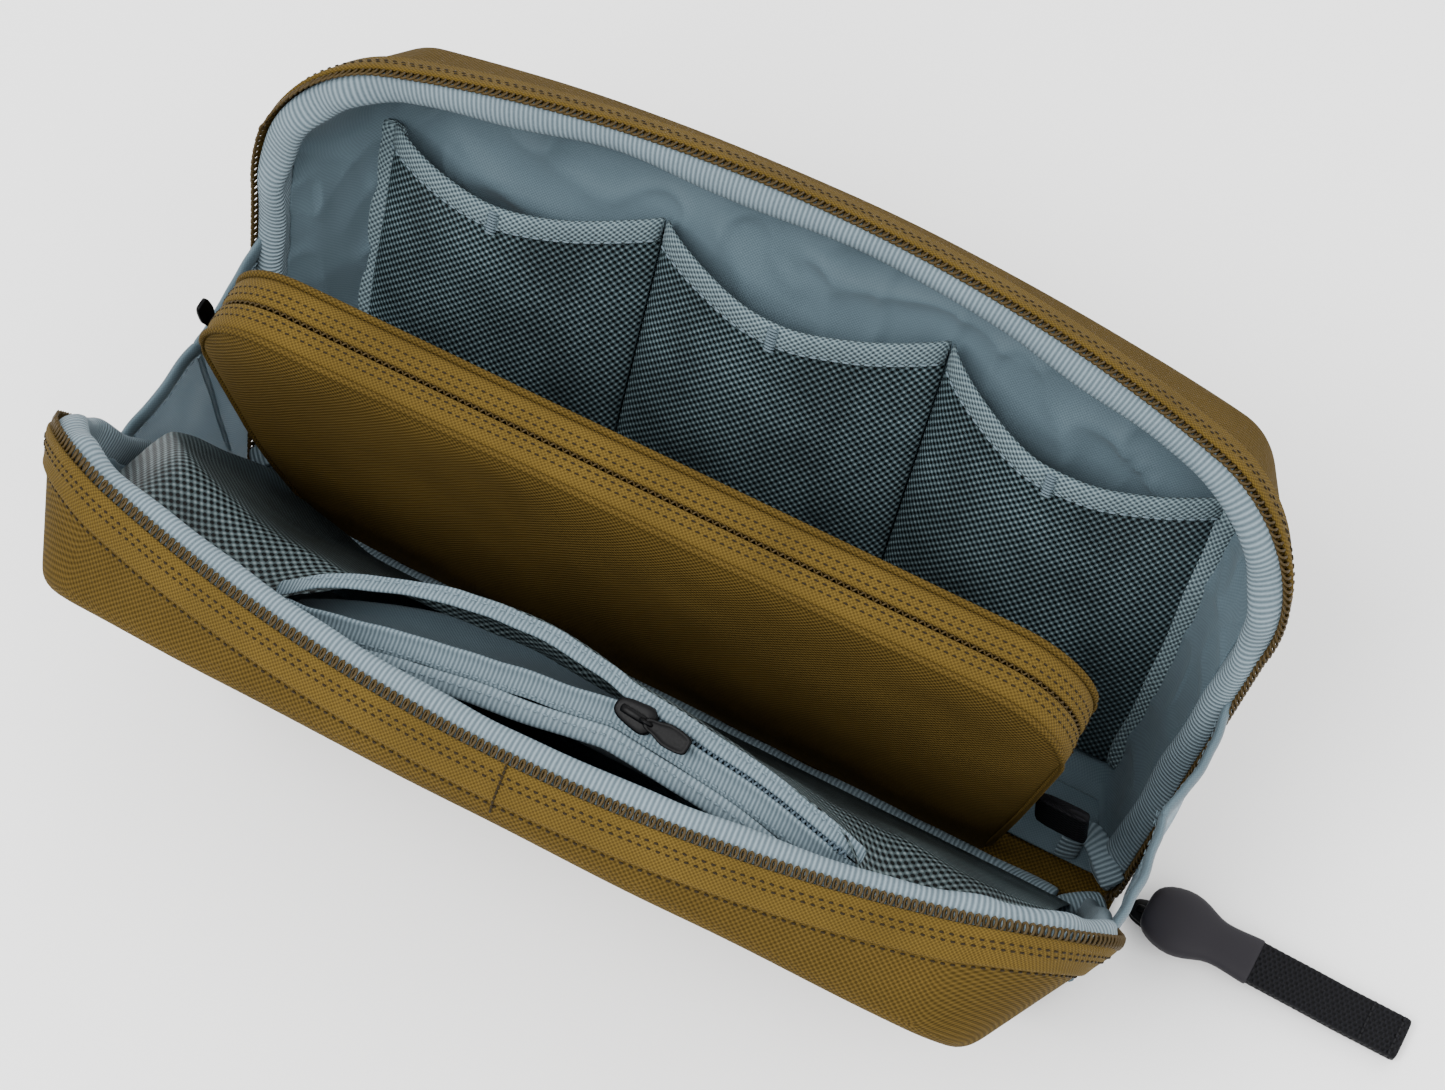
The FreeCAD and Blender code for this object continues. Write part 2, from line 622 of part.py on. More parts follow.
def main_puller():
    """The main zipper's slider at its open end, and its webbing puller in a rubber sleeve."""
    y, z, root = D["pull_y"].value, D["pull_z"].value, D["pull_root"].value
    slider = slider_body("main_slider_body", D["slider_main_wide"])
    keep(slider, "main_slider", at_point(root + 1.4, y, 0.8))
    slant = Placement(Vector(root, y, z), Rotation(Vector(0, 1, 0), D["pull_slope"].value))
    wide, thick = D["pull_wide"], D["pull_thick"]
    web = plate("main_web", (D["sleeve_long"] + 0.1, -wide / 2, -thick / 2),
                (D["pull_long"], wide / 2, thick / 2))
    keep(web, "main_puller_webbing", slant)
    bulge, neck = D["sleeve_long"] * 0.3, D["sleeve_long"] * 0.6
    outline = closed_sketch("main_sleeve_outline", Rotation(), (0, 0, -D["sleeve_thick"] / 2),
                            [(0.5, -6.2), (bulge, -7.6), (neck, -5.4), (D["sleeve_long"], -5.6),
                             (D["sleeve_long"], 5.6), (neck, 5.4), (bulge, 7.6), (0.5, 6.2)], [None] * 8)
    keep(extrude("main_sleeve", outline, (0, 0, 1), D["sleeve_thick"]), "main_puller_sleeve", slant)


# ---- build and write -------------------------------------------------------------------------

def main():
    """Builds every sub-part, checks the document and writes one STEP file for each."""
    for word, side in SIDES.items():
        half_layers(word, side)
    rear_mesh_pockets()
    front_pockets()
    spine()
    gussets()
    divider()
    sliders()
    main_puller()
    doc.recompute()
    failed = [o.Name for o in doc.Objects if "Invalid" in o.State or "Error" in o.State]
    assert not failed, f"objects that failed: {failed}"
    os.makedirs("parts", exist_ok=True)
    for part in parts:
        shape = part.Shape
        assert not shape.isNull() and shape.isValid() and shape.Solids, part.Label
        shape.exportStep(f"parts/{part.Label}.step")
        print(f"{part.Label:28s} {shape.Volume:9.1f} mm3 {len(shape.Solids)} solid(s)")


main()
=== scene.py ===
import json
import logging
import math
from dataclasses import dataclass
from enum import Enum
from typing import Callable, Sequence

import bmesh
import bpy
from mathutils import Matrix, Vector, noise


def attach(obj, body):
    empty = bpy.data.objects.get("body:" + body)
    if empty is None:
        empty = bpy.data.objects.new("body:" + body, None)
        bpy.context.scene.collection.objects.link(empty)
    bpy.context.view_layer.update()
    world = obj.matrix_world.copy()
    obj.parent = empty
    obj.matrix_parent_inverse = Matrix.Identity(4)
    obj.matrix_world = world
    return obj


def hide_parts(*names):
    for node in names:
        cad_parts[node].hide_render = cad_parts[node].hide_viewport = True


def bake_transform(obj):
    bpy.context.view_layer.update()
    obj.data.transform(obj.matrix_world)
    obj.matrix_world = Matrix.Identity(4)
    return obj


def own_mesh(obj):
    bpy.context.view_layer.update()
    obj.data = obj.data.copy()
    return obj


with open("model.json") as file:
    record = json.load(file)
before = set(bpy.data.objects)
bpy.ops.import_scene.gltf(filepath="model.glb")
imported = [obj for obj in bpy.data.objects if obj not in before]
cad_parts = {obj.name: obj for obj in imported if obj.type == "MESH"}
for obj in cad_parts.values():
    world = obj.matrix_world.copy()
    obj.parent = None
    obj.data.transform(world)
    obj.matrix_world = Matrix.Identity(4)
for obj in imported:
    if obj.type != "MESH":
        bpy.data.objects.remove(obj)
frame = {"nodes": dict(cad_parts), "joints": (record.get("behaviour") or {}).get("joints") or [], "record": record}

MM = 0.001
LOG = logging.getLogger("pouch")
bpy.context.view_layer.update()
Point = tuple[float, float, float]
Row = list[Vector]
Piece = bpy.types.Object


class Side(Enum):
    """The two halves of the pouch, by which way they lie from the spine."""

    FRONT = -1
    REAR = 1

    @property
    def word(self) -> str:
        """The half's name as its nodes spell it."""
        return self.name.lower()


# ---- shared helpers ---------------------------------------------------------------------------

def linear(hex_colour: str) -> tuple[float, float, float, float]:
    """Turns an sRGB hex colour into linear RGBA.

    Args:
        hex_colour: six hex digits.

    Returns:
        The colour as a shader socket takes it.
    """
    parts = [int(hex_colour[i:i + 2], 16) / 255 for i in (0, 2, 4)]
    red, green, blue = [c / 12.92 if c <= 0.04045 else ((c + 0.055) / 1.055) ** 2.4 for c in parts]
    return (red, green, blue, 1.0)


def add(tree: bpy.types.NodeTree, kind: str, inputs: dict | None = None,
        **settings: str | bool | float) -> bpy.types.Node:
    """Adds one node with its settings and links.

    Args:
        tree: the node tree.
        kind: the node's type without its ShaderNode prefix.
        inputs: by socket name or number, a value to set or an output socket to link.
        settings: attributes of the node.

    Returns:
        The node.
    """
    node = tree.nodes.new(f"ShaderNode{kind}")
    for name, value in settings.items():
        setattr(node, name, value)
    for name, value in (inputs or {}).items():
        if isinstance(value, bpy.types.NodeSocket):
            tree.links.new(value, node.inputs[name])
        else:
            node.inputs[name].default_value = value
    return node


def smooth(edge0: float, edge1: float, x: float) -> float:
    """Rises smoothly from 0 at edge0 to 1 at edge1."""
    t = min(1.0, max(0.0, (x - edge0) / (edge1 - edge0)))
    return t * t * (3 - 2 * t)


def mix(a: float, b: float, t: float) -> float:
    """The value a share t of the way from a to b."""
    return a + (b - a) * t


def wobble(x: float, y: float, z: float, size: float, seed: float = 0.0) -> float:
    """Smooth noise from about -1 to 1 whose bumps are about size across."""
    return noise.noise(Vector((x / size + seed, y / size - seed, z / size + 0.37 * seed)))


def arc(start: tuple[float, float], end: tuple[float, float], radius: float, count: int) -> list:
    """Points on an anticlockwise arc, its start included and its end left out.

    Args:
        start: first end.
        end: last end.
        radius: radius, at least half the distance between the ends.
        count: number of points.

    Returns:
        A list of (x, y).
    """
    hx, hy = (end[0] - start[0]) / 2, (end[1] - start[1]) / 2
    half = math.hypot(hx, hy)
    rise = math.sqrt(max(0.0, radius ** 2 - half ** 2)) / half
    cx, cy = start[0] + hx - hy * rise, start[1] + hy + hx * rise
    first = math.atan2(start[1] - cy, start[0] - cx)
    turn = 2 * math.asin(min(1.0, half / radius))
    angles = [first + turn * i / count for i in range(count)]
    return [(cx + radius * math.cos(a), cy + radius * math.sin(a)) for a in angles]


def line(start: tuple[float, float], end: tuple[float, float], count: int) -> list:
    """Points on a straight line, its start included and its end left out."""
    return [(mix(start[0], end[0], i / count), mix(start[1], end[1], i / count)) for i in range(count)]


def lengths(points: Sequence[Vector]) -> list[float]:
    """The distance along a path to each of its points.

    Args:
        points: the points of the path.

    Returns:
        A distance for each point, from 0 at the first.
    """
    total = [0.0]
    for a, b in zip(points, points[1:]):
        total.append(total[-1] + (b - a).length)
    return total


def walk(points: Sequence[Vector], step: float) -> list[tuple[Vector, Vector]]:
    """Even steps along a path.

    Args:
        points: the path.
        step: wanted distance between steps.

    Returns:
        A list of (place, unit tangent).
    """
    along = lengths(points)
    count = max(2, round(along[-1] / step))
    found, at = [], 0
    for i in range(count + 1):
        goal = along[-1] * i / count
        while at < len(points) - 2 and along[at + 1] < goal:
            at += 1
        span = along[at + 1] - along[at] or 1.0
        place = points[at].lerp(points[at + 1], (goal - along[at]) / span)
        found.append((place, (points[at + 1] - points[at]).normalized()))
    return found


def make(name: str, verts: list, faces: list, uvs: list | None = None) -> Piece:
    """A smooth-shaded mesh object.

    Args:
        name: the piece's name.
        verts: places in metres.
        faces: lists of vertex numbers.
        uvs: for each vertex its place on the cloth in millimetres, or None.

    Returns:
        The object, linked to the scene.
    """
    mesh = bpy.data.meshes.new(name)
    mesh.from_pydata([tuple(v) for v in verts], [], faces)
    if uvs:
        layer = mesh.uv_layers.new(name="cloth")
        for loop in mesh.loops:
            layer.data[loop.index].uv = uvs[loop.vertex_index]
    mesh.polygons.foreach_set("use_smooth", [True] * len(mesh.polygons))
    mesh.validate()
    piece = bpy.data.objects.new(name, mesh)
    bpy.context.collection.objects.link(piece)
    return piece


def quads(count: int, tall: int, ring: bool, tube: bool) -> list[tuple[int, ...]]:
    """The faces between rows of points.

    Args:
        count: points in a row.
        tall: number of rows.
        ring: whether each row closes on itself.
        tube: whether the last row joins the first.

    Returns:
        Four vertex numbers for each face.
    """
    faces = []
    for r in range(tall if tube else tall - 1):
        here, above = r * count, (r + 1) % tall * count
        for i in range(count if ring else count - 1):
            nearby = (i + 1) % count
            faces.append((here + i, here + nearby, above + nearby, above + i))
    return faces


def loft(name: str, rows: Sequence[Row], ring: bool = False, tube: bool = False) -> Piece:
    """A surface through rows of points.

    Args:
        name: the piece's name.
        rows: rows with the same number of points, in metres.
        ring: whether each row closes on itself.
        tube: whether the last row joins the first, with both ends closed.

    Returns:
        The object, with its cloth map in millimetres: along the rows and across them.
    """
    count, tall = len(rows[0]), len(rows)
    along = lengths(rows[0 if tube else tall // 2])
    across = [0.0] * count
    uvs = []
    for r, row in enumerate(rows):
        for i in range(count):
            if r:
                across[i] += (row[i] - rows[r - 1][i]).length
            uvs.append((along[i] / MM, across[i] / MM))
    faces = quads(count, tall, ring, tube)
    if tube:
        faces.append(tuple(r * count for r in range(tall))[::-1])
        faces.append(tuple(r * count + count - 1 for r in range(tall)))
    return make(name, [p for row in rows for p in row], faces, uvs)


def capped(name: str, rings: Sequence[Row]) -> Piece:
    """A solid through rings of points, closed at both ends.

    Args:
        name: the piece's name.
        rings: rings with the same number of points, in metres.

    Returns:
        The object, with its cloth map in millimetres: along it and round it.
    """
    count, tall = len(rings[0]), len(rings)
    faces = quads(count, tall, True, False)
    faces += [tuple(range(count))[::-1], tuple(range(count * (tall - 1), count * tall))]
    along = lengths([ring[0] for ring in rings])
    around = lengths([*rings[0], rings[0][0]])
    uvs = [(along[r] / MM, around[i] / MM) for r in range(tall) for i in range(count)]
    return tidy(make(name, [p for ring in rings for p in ring], faces, uvs))


def lay_flat(piece: Piece, facing: Vector, limit: float = 0.0) -> Piece:
    """Lays the cloth map straight over the faces that look a given way, so that the weave runs level.

    Args:
        piece: the piece.
        facing: the direction that the cloth faces.
        limit: how nearly a face has to look that way, from 0 to 1.

    Returns:
        The piece.
    """
    mesh, level = piece.data, Vector((1, 0, 0))
    upward = facing.cross(level).normalized()
    layer = mesh.uv_layers["cloth"].data
    for face in mesh.polygons:
        if abs(face.normal.dot(facing)) >= limit:
            for loop in face.loop_indices:
                place = mesh.vertices[mesh.loops[loop].vertex_index].co
                layer[loop].uv = (place.dot(level) / MM, place.dot(upward) / MM)
    return piece


MIDDLE_HALF, MIDDLE_STEP = 64.0, 4.0  # the line that a face closes on, and its points' spacing


def middle_x(x: float) -> float:
    """Where on its middle line a face closes at x: its upper and lower parts meet there."""
    return round(max(-MIDDLE_HALF, min(MIDDLE_HALF, x)) / MIDDLE_STEP) * MIDDLE_STEP


def tidy(piece: Piece) -> Piece:
    """Welds a piece where its points meet, and makes every face look outwards.

    Args:
        piece: the piece, which is changed.

    Returns:
        The same piece.
    """
    work = bmesh.new()
    work.from_mesh(piece.data)
    bmesh.ops.remove_doubles(work, verts=work.verts, dist=0.001 * MM)
    bmesh.ops.recalc_face_normals(work, faces=work.faces)
    work.to_mesh(piece.data)
    work.free()
    return piece


def thicken(piece: Piece, thick: float, offset: float = -1.0, levels: int = 0) -> Piece:
    """Gives a cloth surface its thickness, and rounds it by subdivision.

    Args:
        piece: the surface, which is changed.
        thick: the thickness in millimetres.
        offset: the side that it goes to, from -1 to 1.
        levels: levels of subdivision, or 0 for none.

    Returns:
        The same piece.
    """
    wall = piece.modifiers.new("thickness", "SOLIDIFY")
    wall.thickness = thick * MM
    wall.offset = offset
    if levels:
        soften(piece, levels)
    return piece


def soften(piece: Piece, levels: int = 1) -> Piece:
    """Rounds a piece by subdivision.

    Args:
        piece: the piece, which is changed.
        levels: levels of subdivision.

    Returns:
        The same piece.
    """
    sub = piece.modifiers.new("soften", "SUBSURF")
    sub.levels = sub.render_levels = levels
    return piece


def settle(piece: Piece) -> Piece:
    """Makes a piece's modifiers part of its mesh.

    Args:
        piece: the piece, which is changed.

    Returns:
        The same piece.
    """
    bpy.context.view_layer.update()
    mesh = bpy.data.meshes.new_from_object(piece.evaluated_get(bpy.context.evaluated_depsgraph_get()))
    piece.modifiers.clear()
    piece.data = mesh
    return piece


def tube(name: str, path: Sequence[Vector], radius: float | Callable[[float], float], sides: int = 8,
         flat: float = 1.0, up: Vector | None = None) -> Piece:
    """A closed round tube along a path.

    Args:
        name: the piece's name.
        path: points in metres.
        radius: in millimetres, or a function of the share along the path.
        sides: number of sides.
        flat: the tube's thickness along up, as a share of its width.
        up: the direction in which it is flat.

    Returns:
        The object.
    """
    up = up or Vector((0, 0, 1))
    rows: list[Row] = []
    last = len(path) - 1
    for i, point in enumerate(path):
        tangent = (path[min(last, i + 1)] - path[max(0, i - 1)]).normalized()
        side = tangent.cross(up).normalized()
        top = side.cross(tangent).normalized()
        size = (radius(i / last) if callable(radius) else radius) * MM
        turn = [2 * math.pi * k / sides for k in range(sides)]
        rows.append([point + side * (size * math.cos(a)) + top * (size * flat * math.sin(a)) for a in turn])
    return capped(name, rows)


def dashes(name: str, path: Sequence[Vector], out: Callable[[Vector], Vector], pitch: float, long: float,
           wide: float) -> Piece:
    """A row of stitches along a path, each a small rounded dash that stands a little proud.

    Args:
        name: the piece's name.
        path: points in metres.
        out: the direction in which the cloth faces at a place.
        pitch: distance between stitches, in millimetres.
        long: length of one.
        wide: width of one.

    Returns:
        The object.
    """
    verts, faces = [], []
    ring = 6
    for place, tangent in walk(path, pitch * MM):
        normal = out(place)
        side = tangent.cross(normal).normalized()
        base = len(verts)
        for share, size in ((-0.5, 0.35), (-0.3, 1.0), (0.3, 1.0), (0.5, 0.35)):
            for k in range(ring):
                turn = 2 * math.pi * k / ring
                verts.append(place + tangent * (share * long * MM)
                             + side * (math.cos(turn) * wide * size * MM / 2)
                             + normal * ((math.sin(turn) * size * 0.5) * wide * MM * 0.7))
        for r in range(3):
            for k in range(ring):
                a, b = base + r * ring + k, base + r * ring + (k + 1) % ring
                faces.append((a, b, b + ring, a + ring))
        faces.append(tuple(range(base, base + ring))[::-1])
        faces.append(tuple(range(base + 3 * ring, base + 4 * ring)))
    return make(name, verts, faces)


# ---- finishes ---------------------------------------------------------------------------------

@dataclass(frozen=True)
class Cloth:
    """Cloth woven or knitted from two sets of threads, seen on its cloth map in millimetres, with a painted
    highlight on the threads' crowns and painted shade between them.
    """

    name: str
    # painted highlight: the colour of the threads' crowns, as if lit
    light: str  # the colour of the threads' crowns
    # painted shade: the colour between the threads, as if in shadow
    dark: str  # the colour between threads
    pitch_along: float  # thread spacing along the piece, mm
    pitch_across: float  # thread spacing across it, mm
    relief: float = 0.25  # height of the threads, mm
    rough: float = 0.85
    sheen: float = 0.03
    specular: float = 0.12
    contrast: float = 1.0
    plain: bool = True  # threads cross over and under; otherwise they only lie side by side
    patches: float = 0.12  # how much the dye varies over the piece
    through: float = 0.0  # how much of the light scatters through the cloth

    def build(self) -> bpy.types.Material:
        """Makes the material.

        Returns:
            The material.
        """
        made = bpy.data.materials.new(self.name)
        made.use_nodes = True
        tree = made.node_tree
        tree.nodes.clear()
        cloth = add(tree, "UVMap", uv_map="cloth").outputs["UV"]
        # a wave texture of scale 1 repeats every 0.314, so this gives the thread spacing
        warp = add(tree, "TexWave", {"Vector": cloth, "Scale": 0.3142 / self.pitch_along, "Distortion": 0.35,
                                     "Detail": 1.0, "Detail Scale": 0.6}, bands_direction="X").outputs["Fac"]
        height = warp
        if self.plain:
            weft = add(tree, "TexWave", {"Vector": cloth, "Scale": 0.3142 / self.pitch_across,
                                         "Distortion": 0.35, "Detail": 1.0, "Detail Scale": 0.6},
                       bands_direction="Y").outputs["Fac"]
            one = add(tree, "Math", {0: warp, 1: 0.5}, operation="SUBTRACT").outputs[0]
            two = add(tree, "Math", {0: weft, 1: 0.5}, operation="SUBTRACT").outputs[0]
            cross = add(tree, "Math", {0: one, 1: two}, operation="MULTIPLY").outputs[0]
            height = add(tree, "Math", {0: cross, 1: 2.0, 2: 0.5}, operation="MULTIPLY_ADD").outputs[0]
        # yarn is uneven at about a third of its spacing
        fuzz = add(tree, "TexNoise", {"Vector": cloth, "Scale": 1.6 / self.pitch_along,
                                      "Detail": 3.0}).outputs["Fac"]
        body = add(tree, "Math", {0: fuzz, 1: 0.35, 2: height}, operation="MULTIPLY_ADD").outputs[0]
        # painted light and shade: the crowns take the painted highlight colour and the gaps between threads the
        # painted shade colour
        shade = add(tree, "MapRange", {"Value": body, "From Min": 0.62 - 0.42 / self.contrast,
                                       "From Max": 0.72 + 0.42 / self.contrast}).outputs[0]
        colour = add(tree, "Mix", {0: shade, 6: linear(self.dark), 7: linear(self.light)},
                     data_type="RGBA").outputs[2]
        # dye varies over a few centimetres
        spots = add(tree, "TexNoise", {"Vector": cloth, "Scale": 0.045, "Detail": 4.0}).outputs["Fac"]
        vary = add(tree, "MapRange", {"Value": spots, "From Min": 0.3, "From Max": 0.7,
                                      "To Min": 1 - self.patches, "To Max": 1 + self.patches}).outputs[0]
        tinted = add(tree, "HueSaturation", {"Color": colour, "Value": vary}).outputs[0]
        bump = add(tree, "Bump", {"Height": body, "Distance": self.relief * MM, "Strength": 0.9}).outputs[0]
        shader = add(tree, "BsdfPrincipled", {"Base Color": tinted, "Roughness": self.rough, "Normal": bump,
                                              "Sheen Weight": self.sheen, "Sheen Roughness": 0.5,
                                              "Subsurface Weight": self.through,
                                              "Subsurface Radius": (1.0, 1.0, 1.0),
                                              "Subsurface Scale": 3 * MM,
                                              "Specular IOR Level": self.specular})
        add(tree, "OutputMaterial", {"Surface": shader.outputs[0]})
        return made


@dataclass(frozen=True)
class AirMesh:
    """Warp-knit polyester mesh: threads with painted glints along their ridges, round staggered holes painted
    near-black as the shade inside them.
    """

    name: str
    # painted highlight: the colour of the glints on the threads' ridges
    light: str
    mid: str
    # painted shade: the near-black seen through the holes
    hole: str
    pitch_along: float = 2.0  # twice the spacing of the staggered holes, mm
    pitch_across: float = 2.0

    def build(self) -> bpy.types.Material:
        """Makes the material.

        Returns:
            The material.
        """
        made = bpy.data.materials.new(self.name)
        made.use_nodes = True
        tree = made.node_tree
        tree.nodes.clear()
        cloth = add(tree, "UVMap", uv_map="cloth").outputs["UV"]
        one = add(tree, "TexWave", {"Vector": cloth, "Scale": 0.3142 / self.pitch_along, "Distortion": 0.5,
                                    "Detail": 1.0, "Detail Scale": 0.25}, bands_direction="X").outputs["Fac"]
        two = add(tree, "TexWave", {"Vector": cloth, "Scale": 0.3142 / self.pitch_across, "Distortion": 0.5,
                                    "Detail": 1.0, "Detail Scale": 0.25}, bands_direction="Y").outputs["Fac"]
        one = add(tree, "Math", {0: one, 1: 0.5}, operation="SUBTRACT").outputs[0]
        two = add(tree, "Math", {0: two, 1: 0.5}, operation="SUBTRACT").outputs[0]
        cells = add(tree, "Math", {0: one, 1: two}, operation="MULTIPLY").outputs[0]
        # positive cells are holes in staggered rows, painted near-black as shade, and the rest is thread with
        # painted glints on its ridges
        hole = add(tree, "MapRange", {"Value": cells, "From Min": 0.05, "From Max": 0.12}).outputs[0]
        ridge = add(tree, "MapRange", {"Value": cells, "From Min": -0.07, "From Max": -0.24}).outputs[0]
        lit = add(tree, "TexNoise", {"Vector": cloth, "Scale": 0.9, "Detail": 3.0}).outputs["Fac"]
        glint = add(tree, "Math", {0: ridge, 1: lit}, operation="MULTIPLY").outputs[0]
        # painted highlight: along the ridges the glints lift the thread towards the highlight colour
        thread = add(tree, "Mix", {0: glint, 6: linear(self.mid), 7: linear(self.light)},
                     data_type="RGBA").outputs[2]
        # painted shade: the holes take the near-black hole colour
        colour = add(tree, "Mix", {0: hole, 6: thread, 7: linear(self.hole)}, data_type="RGBA").outputs[2]
        # the pale cloth behind shows through it in patches a few centimetres across
        spots = add(tree, "TexNoise", {"Vector": cloth, "Scale": 0.05, "Detail": 3.0}).outputs["Fac"]
        vary = add(tree, "MapRange", {"Value": spots, "From Min": 0.35, "From Max": 0.65, "To Min": 0.75,
                                      "To Max": 1.3}).outputs[0]
        colour = add(tree, "HueSaturation", {"Color": colour, "Value": vary}).outputs[0]
        height = add(tree, "Math", {0: 1.0, 1: hole}, operation="SUBTRACT").outputs[0]
        bump = add(tree, "Bump", {"Height": height, "Distance": 0.0006, "Strength": 1.0}).outputs[0]
        shader = add(tree, "BsdfPrincipled", {"Base Color": colour, "Roughness": 0.55, "Normal": bump,
                                              "Specular IOR Level": 0.15})
        add(tree, "OutputMaterial", {"Surface": shader.outputs[0]})
        return made


@dataclass(frozen=True)
class Solid:
    """A moulded, cast or drawn finish with fine grain in it."""

    name: str
    colour: str
    rough: float
    grain: float = 0.4  # size of the surface's grain, mm
    relief: float = 0.02
    specular: float = 0.2

    def build(self) -> bpy.types.Material:
        """Makes the material.

        Returns:
            The material.
        """
        made = bpy.data.materials.new(self.name)
        made.use_nodes = True
        tree = made.node_tree
        tree.nodes.clear()
        place = add(tree, "TexCoord").outputs["Object"]
        grain = {"Vector": place, "Scale": 1 / (self.grain * MM), "Detail": 4.0}
        grit = add(tree, "TexNoise", grain).outputs["Fac"]
        rough = add(tree, "MapRange", {"Value": grit, "To Min": max(0.05, self.rough - 0.12),
                                       "To Max": min(1.0, self.rough + 0.12)}).outputs[0]
        vary = add(tree, "MapRange", {"Value": grit, "To Min": 0.82, "To Max": 1.18}).outputs[0]
        colour = add(tree, "HueSaturation", {"Color": linear(self.colour), "Value": vary}).outputs[0]
        bump = add(tree, "Bump", {"Height": grit, "Distance": self.relief * MM, "Strength": 0.6}).outputs[0]
        shader = add(tree, "BsdfPrincipled", {"Base Color": colour, "Roughness": rough, "Normal": bump,
                                              "Specular IOR Level": self.specular})
        add(tree, "OutputMaterial", {"Surface": shader.outputs[0]})
        return made


# 900-denier polyester canvas: a coarse plain weave, with a highlight painted on each crossing and shade painted
# between the threads
CANVAS = Cloth("canvas", "54431d", "31260c", 1.15, 1.15, relief=0.3, sheen=0.0, specular=0.05, contrast=1.1)
# woven zipper tape is much finer and a little brighter than the canvas
TAPE = Cloth("knit_tape", "5d4b20", "392c0f", 0.9, 0.9, relief=0.2, sheen=0.01, specular=0.06, contrast=0.9)
# plain 210-denier lining, smooth and slightly shiny; its threads are drawn coarser than they are
LINING = Cloth("lining_cloth", "57676f", "3d4c54", 0.75, 0.75, relief=0.05, rough=0.55, sheen=0.06,
               contrast=0.55, patches=0.08)
# the gussets' single layer of lining, thin enough for light to come through; its colour is also painted paler than
# the lining's, as painted light coming through it
LIT_GUSSET = Cloth("gusset_cloth", "6a7a83", "4d5c64", 0.75, 0.75, relief=0.05, rough=0.6, sheen=0.03,
               contrast=0.55, patches=0.06, through=0.85)
# grosgrain binding: ribs straight across the ribbon
GROSGRAIN = Cloth("grosgrain", "76858d", "4a585f", 1.05, 1.05, relief=0.22, rough=0.65, plain=False,
                  contrast=0.9, patches=0.06)
# the mesh's second colour is its painted glint, and its last is the painted shade in its holes
MESH = AirMesh("air_mesh", "7f9398", "2b373b", "030607", 1.8, 1.8)
# the zipped pocket's mesh is more open, with the same painted glints and painted shade in its holes
OPEN_MESH = AirMesh("open_mesh", "7a878a", "343e40", "040607", 2.3, 2.3)
# hems are two layers of the mesh, so no hole goes right through
HEM = Cloth("mesh_hem", "76888d", "26323a", 1.5, 1.3, relief=0.4, rough=0.6, contrast=1.2)
COIL = Solid("olive_coil", "352809", 0.5, grain=0.3)
THREAD = Solid("olive_thread", "1c1403", 0.8, grain=0.15)
PALE_THREAD = Solid("pale_thread", "5b6a72", 0.75, grain=0.15)
FOAM = Solid("foam", "6a6f6f", 0.9, grain=0.6, relief=0.1)
# black painted die-cast zinc
PAINT = Solid("slider_metal", "030304", 0.42, grain=0.5, specular=0.1)
# acetal pull, moulded black
ACETAL = Solid("black_plastic", "020203", 0.4, grain=0.4, specular=0.08)
# silicone rubber boot with a dry, dusty surface
RUBBER = Solid("rubber", "1a181d", 0.6, grain=0.35, relief=0.03)
PALE_COIL = Solid("pale_coil", "42505a", 0.4, grain=0.3)
WEB_THREAD = Solid("black_thread", "0e0e11", 0.7, grain=0.15)
# the pocket zipper's woven tape, ribbed more finely than the binding
ZIP_TAPE = Cloth("zipper_tape", "6c7b83", "45535a", 0.9, 0.9, relief=0.18, rough=0.7, plain=False,
                 patches=0.05)
WEBBING = Cloth("webbing", "121216", "030304", 1.3, 2.0, relief=0.45, rough=0.7, sheen=0.0, patches=0.05)
FLOOR = Solid("studio_floor", "fafafa", 0.9, grain=900.0, relief=0.0)

BUILT: dict[str, bpy.types.Material] = {}


def dress(piece: Piece, style: Cloth | AirMesh | Solid) -> Piece:
    """Gives a piece its finish.

    Args:
        piece: the piece.
        style: its finish.

    Returns:
        The same piece.
    """
    if style.name not in BUILT:
        BUILT[style.name] = style.build()
    piece.data.materials.clear()
    piece.data.materials.append(BUILT[style.name])
    return piece


def finish(body: str, piece: Piece, *nodes: str) -> Piece:
    """Sets a piece on its body, in place of the CAD nodes that it stands for.

    Args:
        body: the body that carries it.
        piece: the piece.
        nodes: the CAD nodes that it replaces.

    Returns:
        The same piece.
    """
    if nodes:
        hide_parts(*nodes)
    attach(piece, body)
    LOG.info("%s rides on %s", piece.name, body)
    return piece


# ---- a half of the pouch ----------------------------------------------------------------------

@dataclass(frozen=True)
class Outline:
    """The sizes of a half's outline at one depth."""

    foot: float
    wide: float
    shoulder: float
    crown_x: float
    crown_z: float
    top: float
    corner: float

    def toward(self, other: "Outline", t: float) -> "Outline":
        """The outline a share t of the way to another."""
        mine, theirs = vars(self), vars(other)
        return Outline(**{k: mix(mine[k], theirs[k], t) for k in mine})


RIM = Outline(113.0, 121.0, 76.0, 95.0, 118.0, 131.0, 34.0)
FACE = Outline(99.0, 103.0, 100.0, 94.0, 110.0, 119.0, 11.0)
START, DEPTH = -2.0, 31.0  # where the two outlines stand, from the rim plane
COUNTS = (36, 8, 18, 16, 44, 16, 18, 8)  # points on the foot, its corner, side, shoulder, crown ...
FOOT_CORNER = 7.0
FOOT_HALF = 120.0
TUCK_X = 5.3  # where the front strip's ends are joined


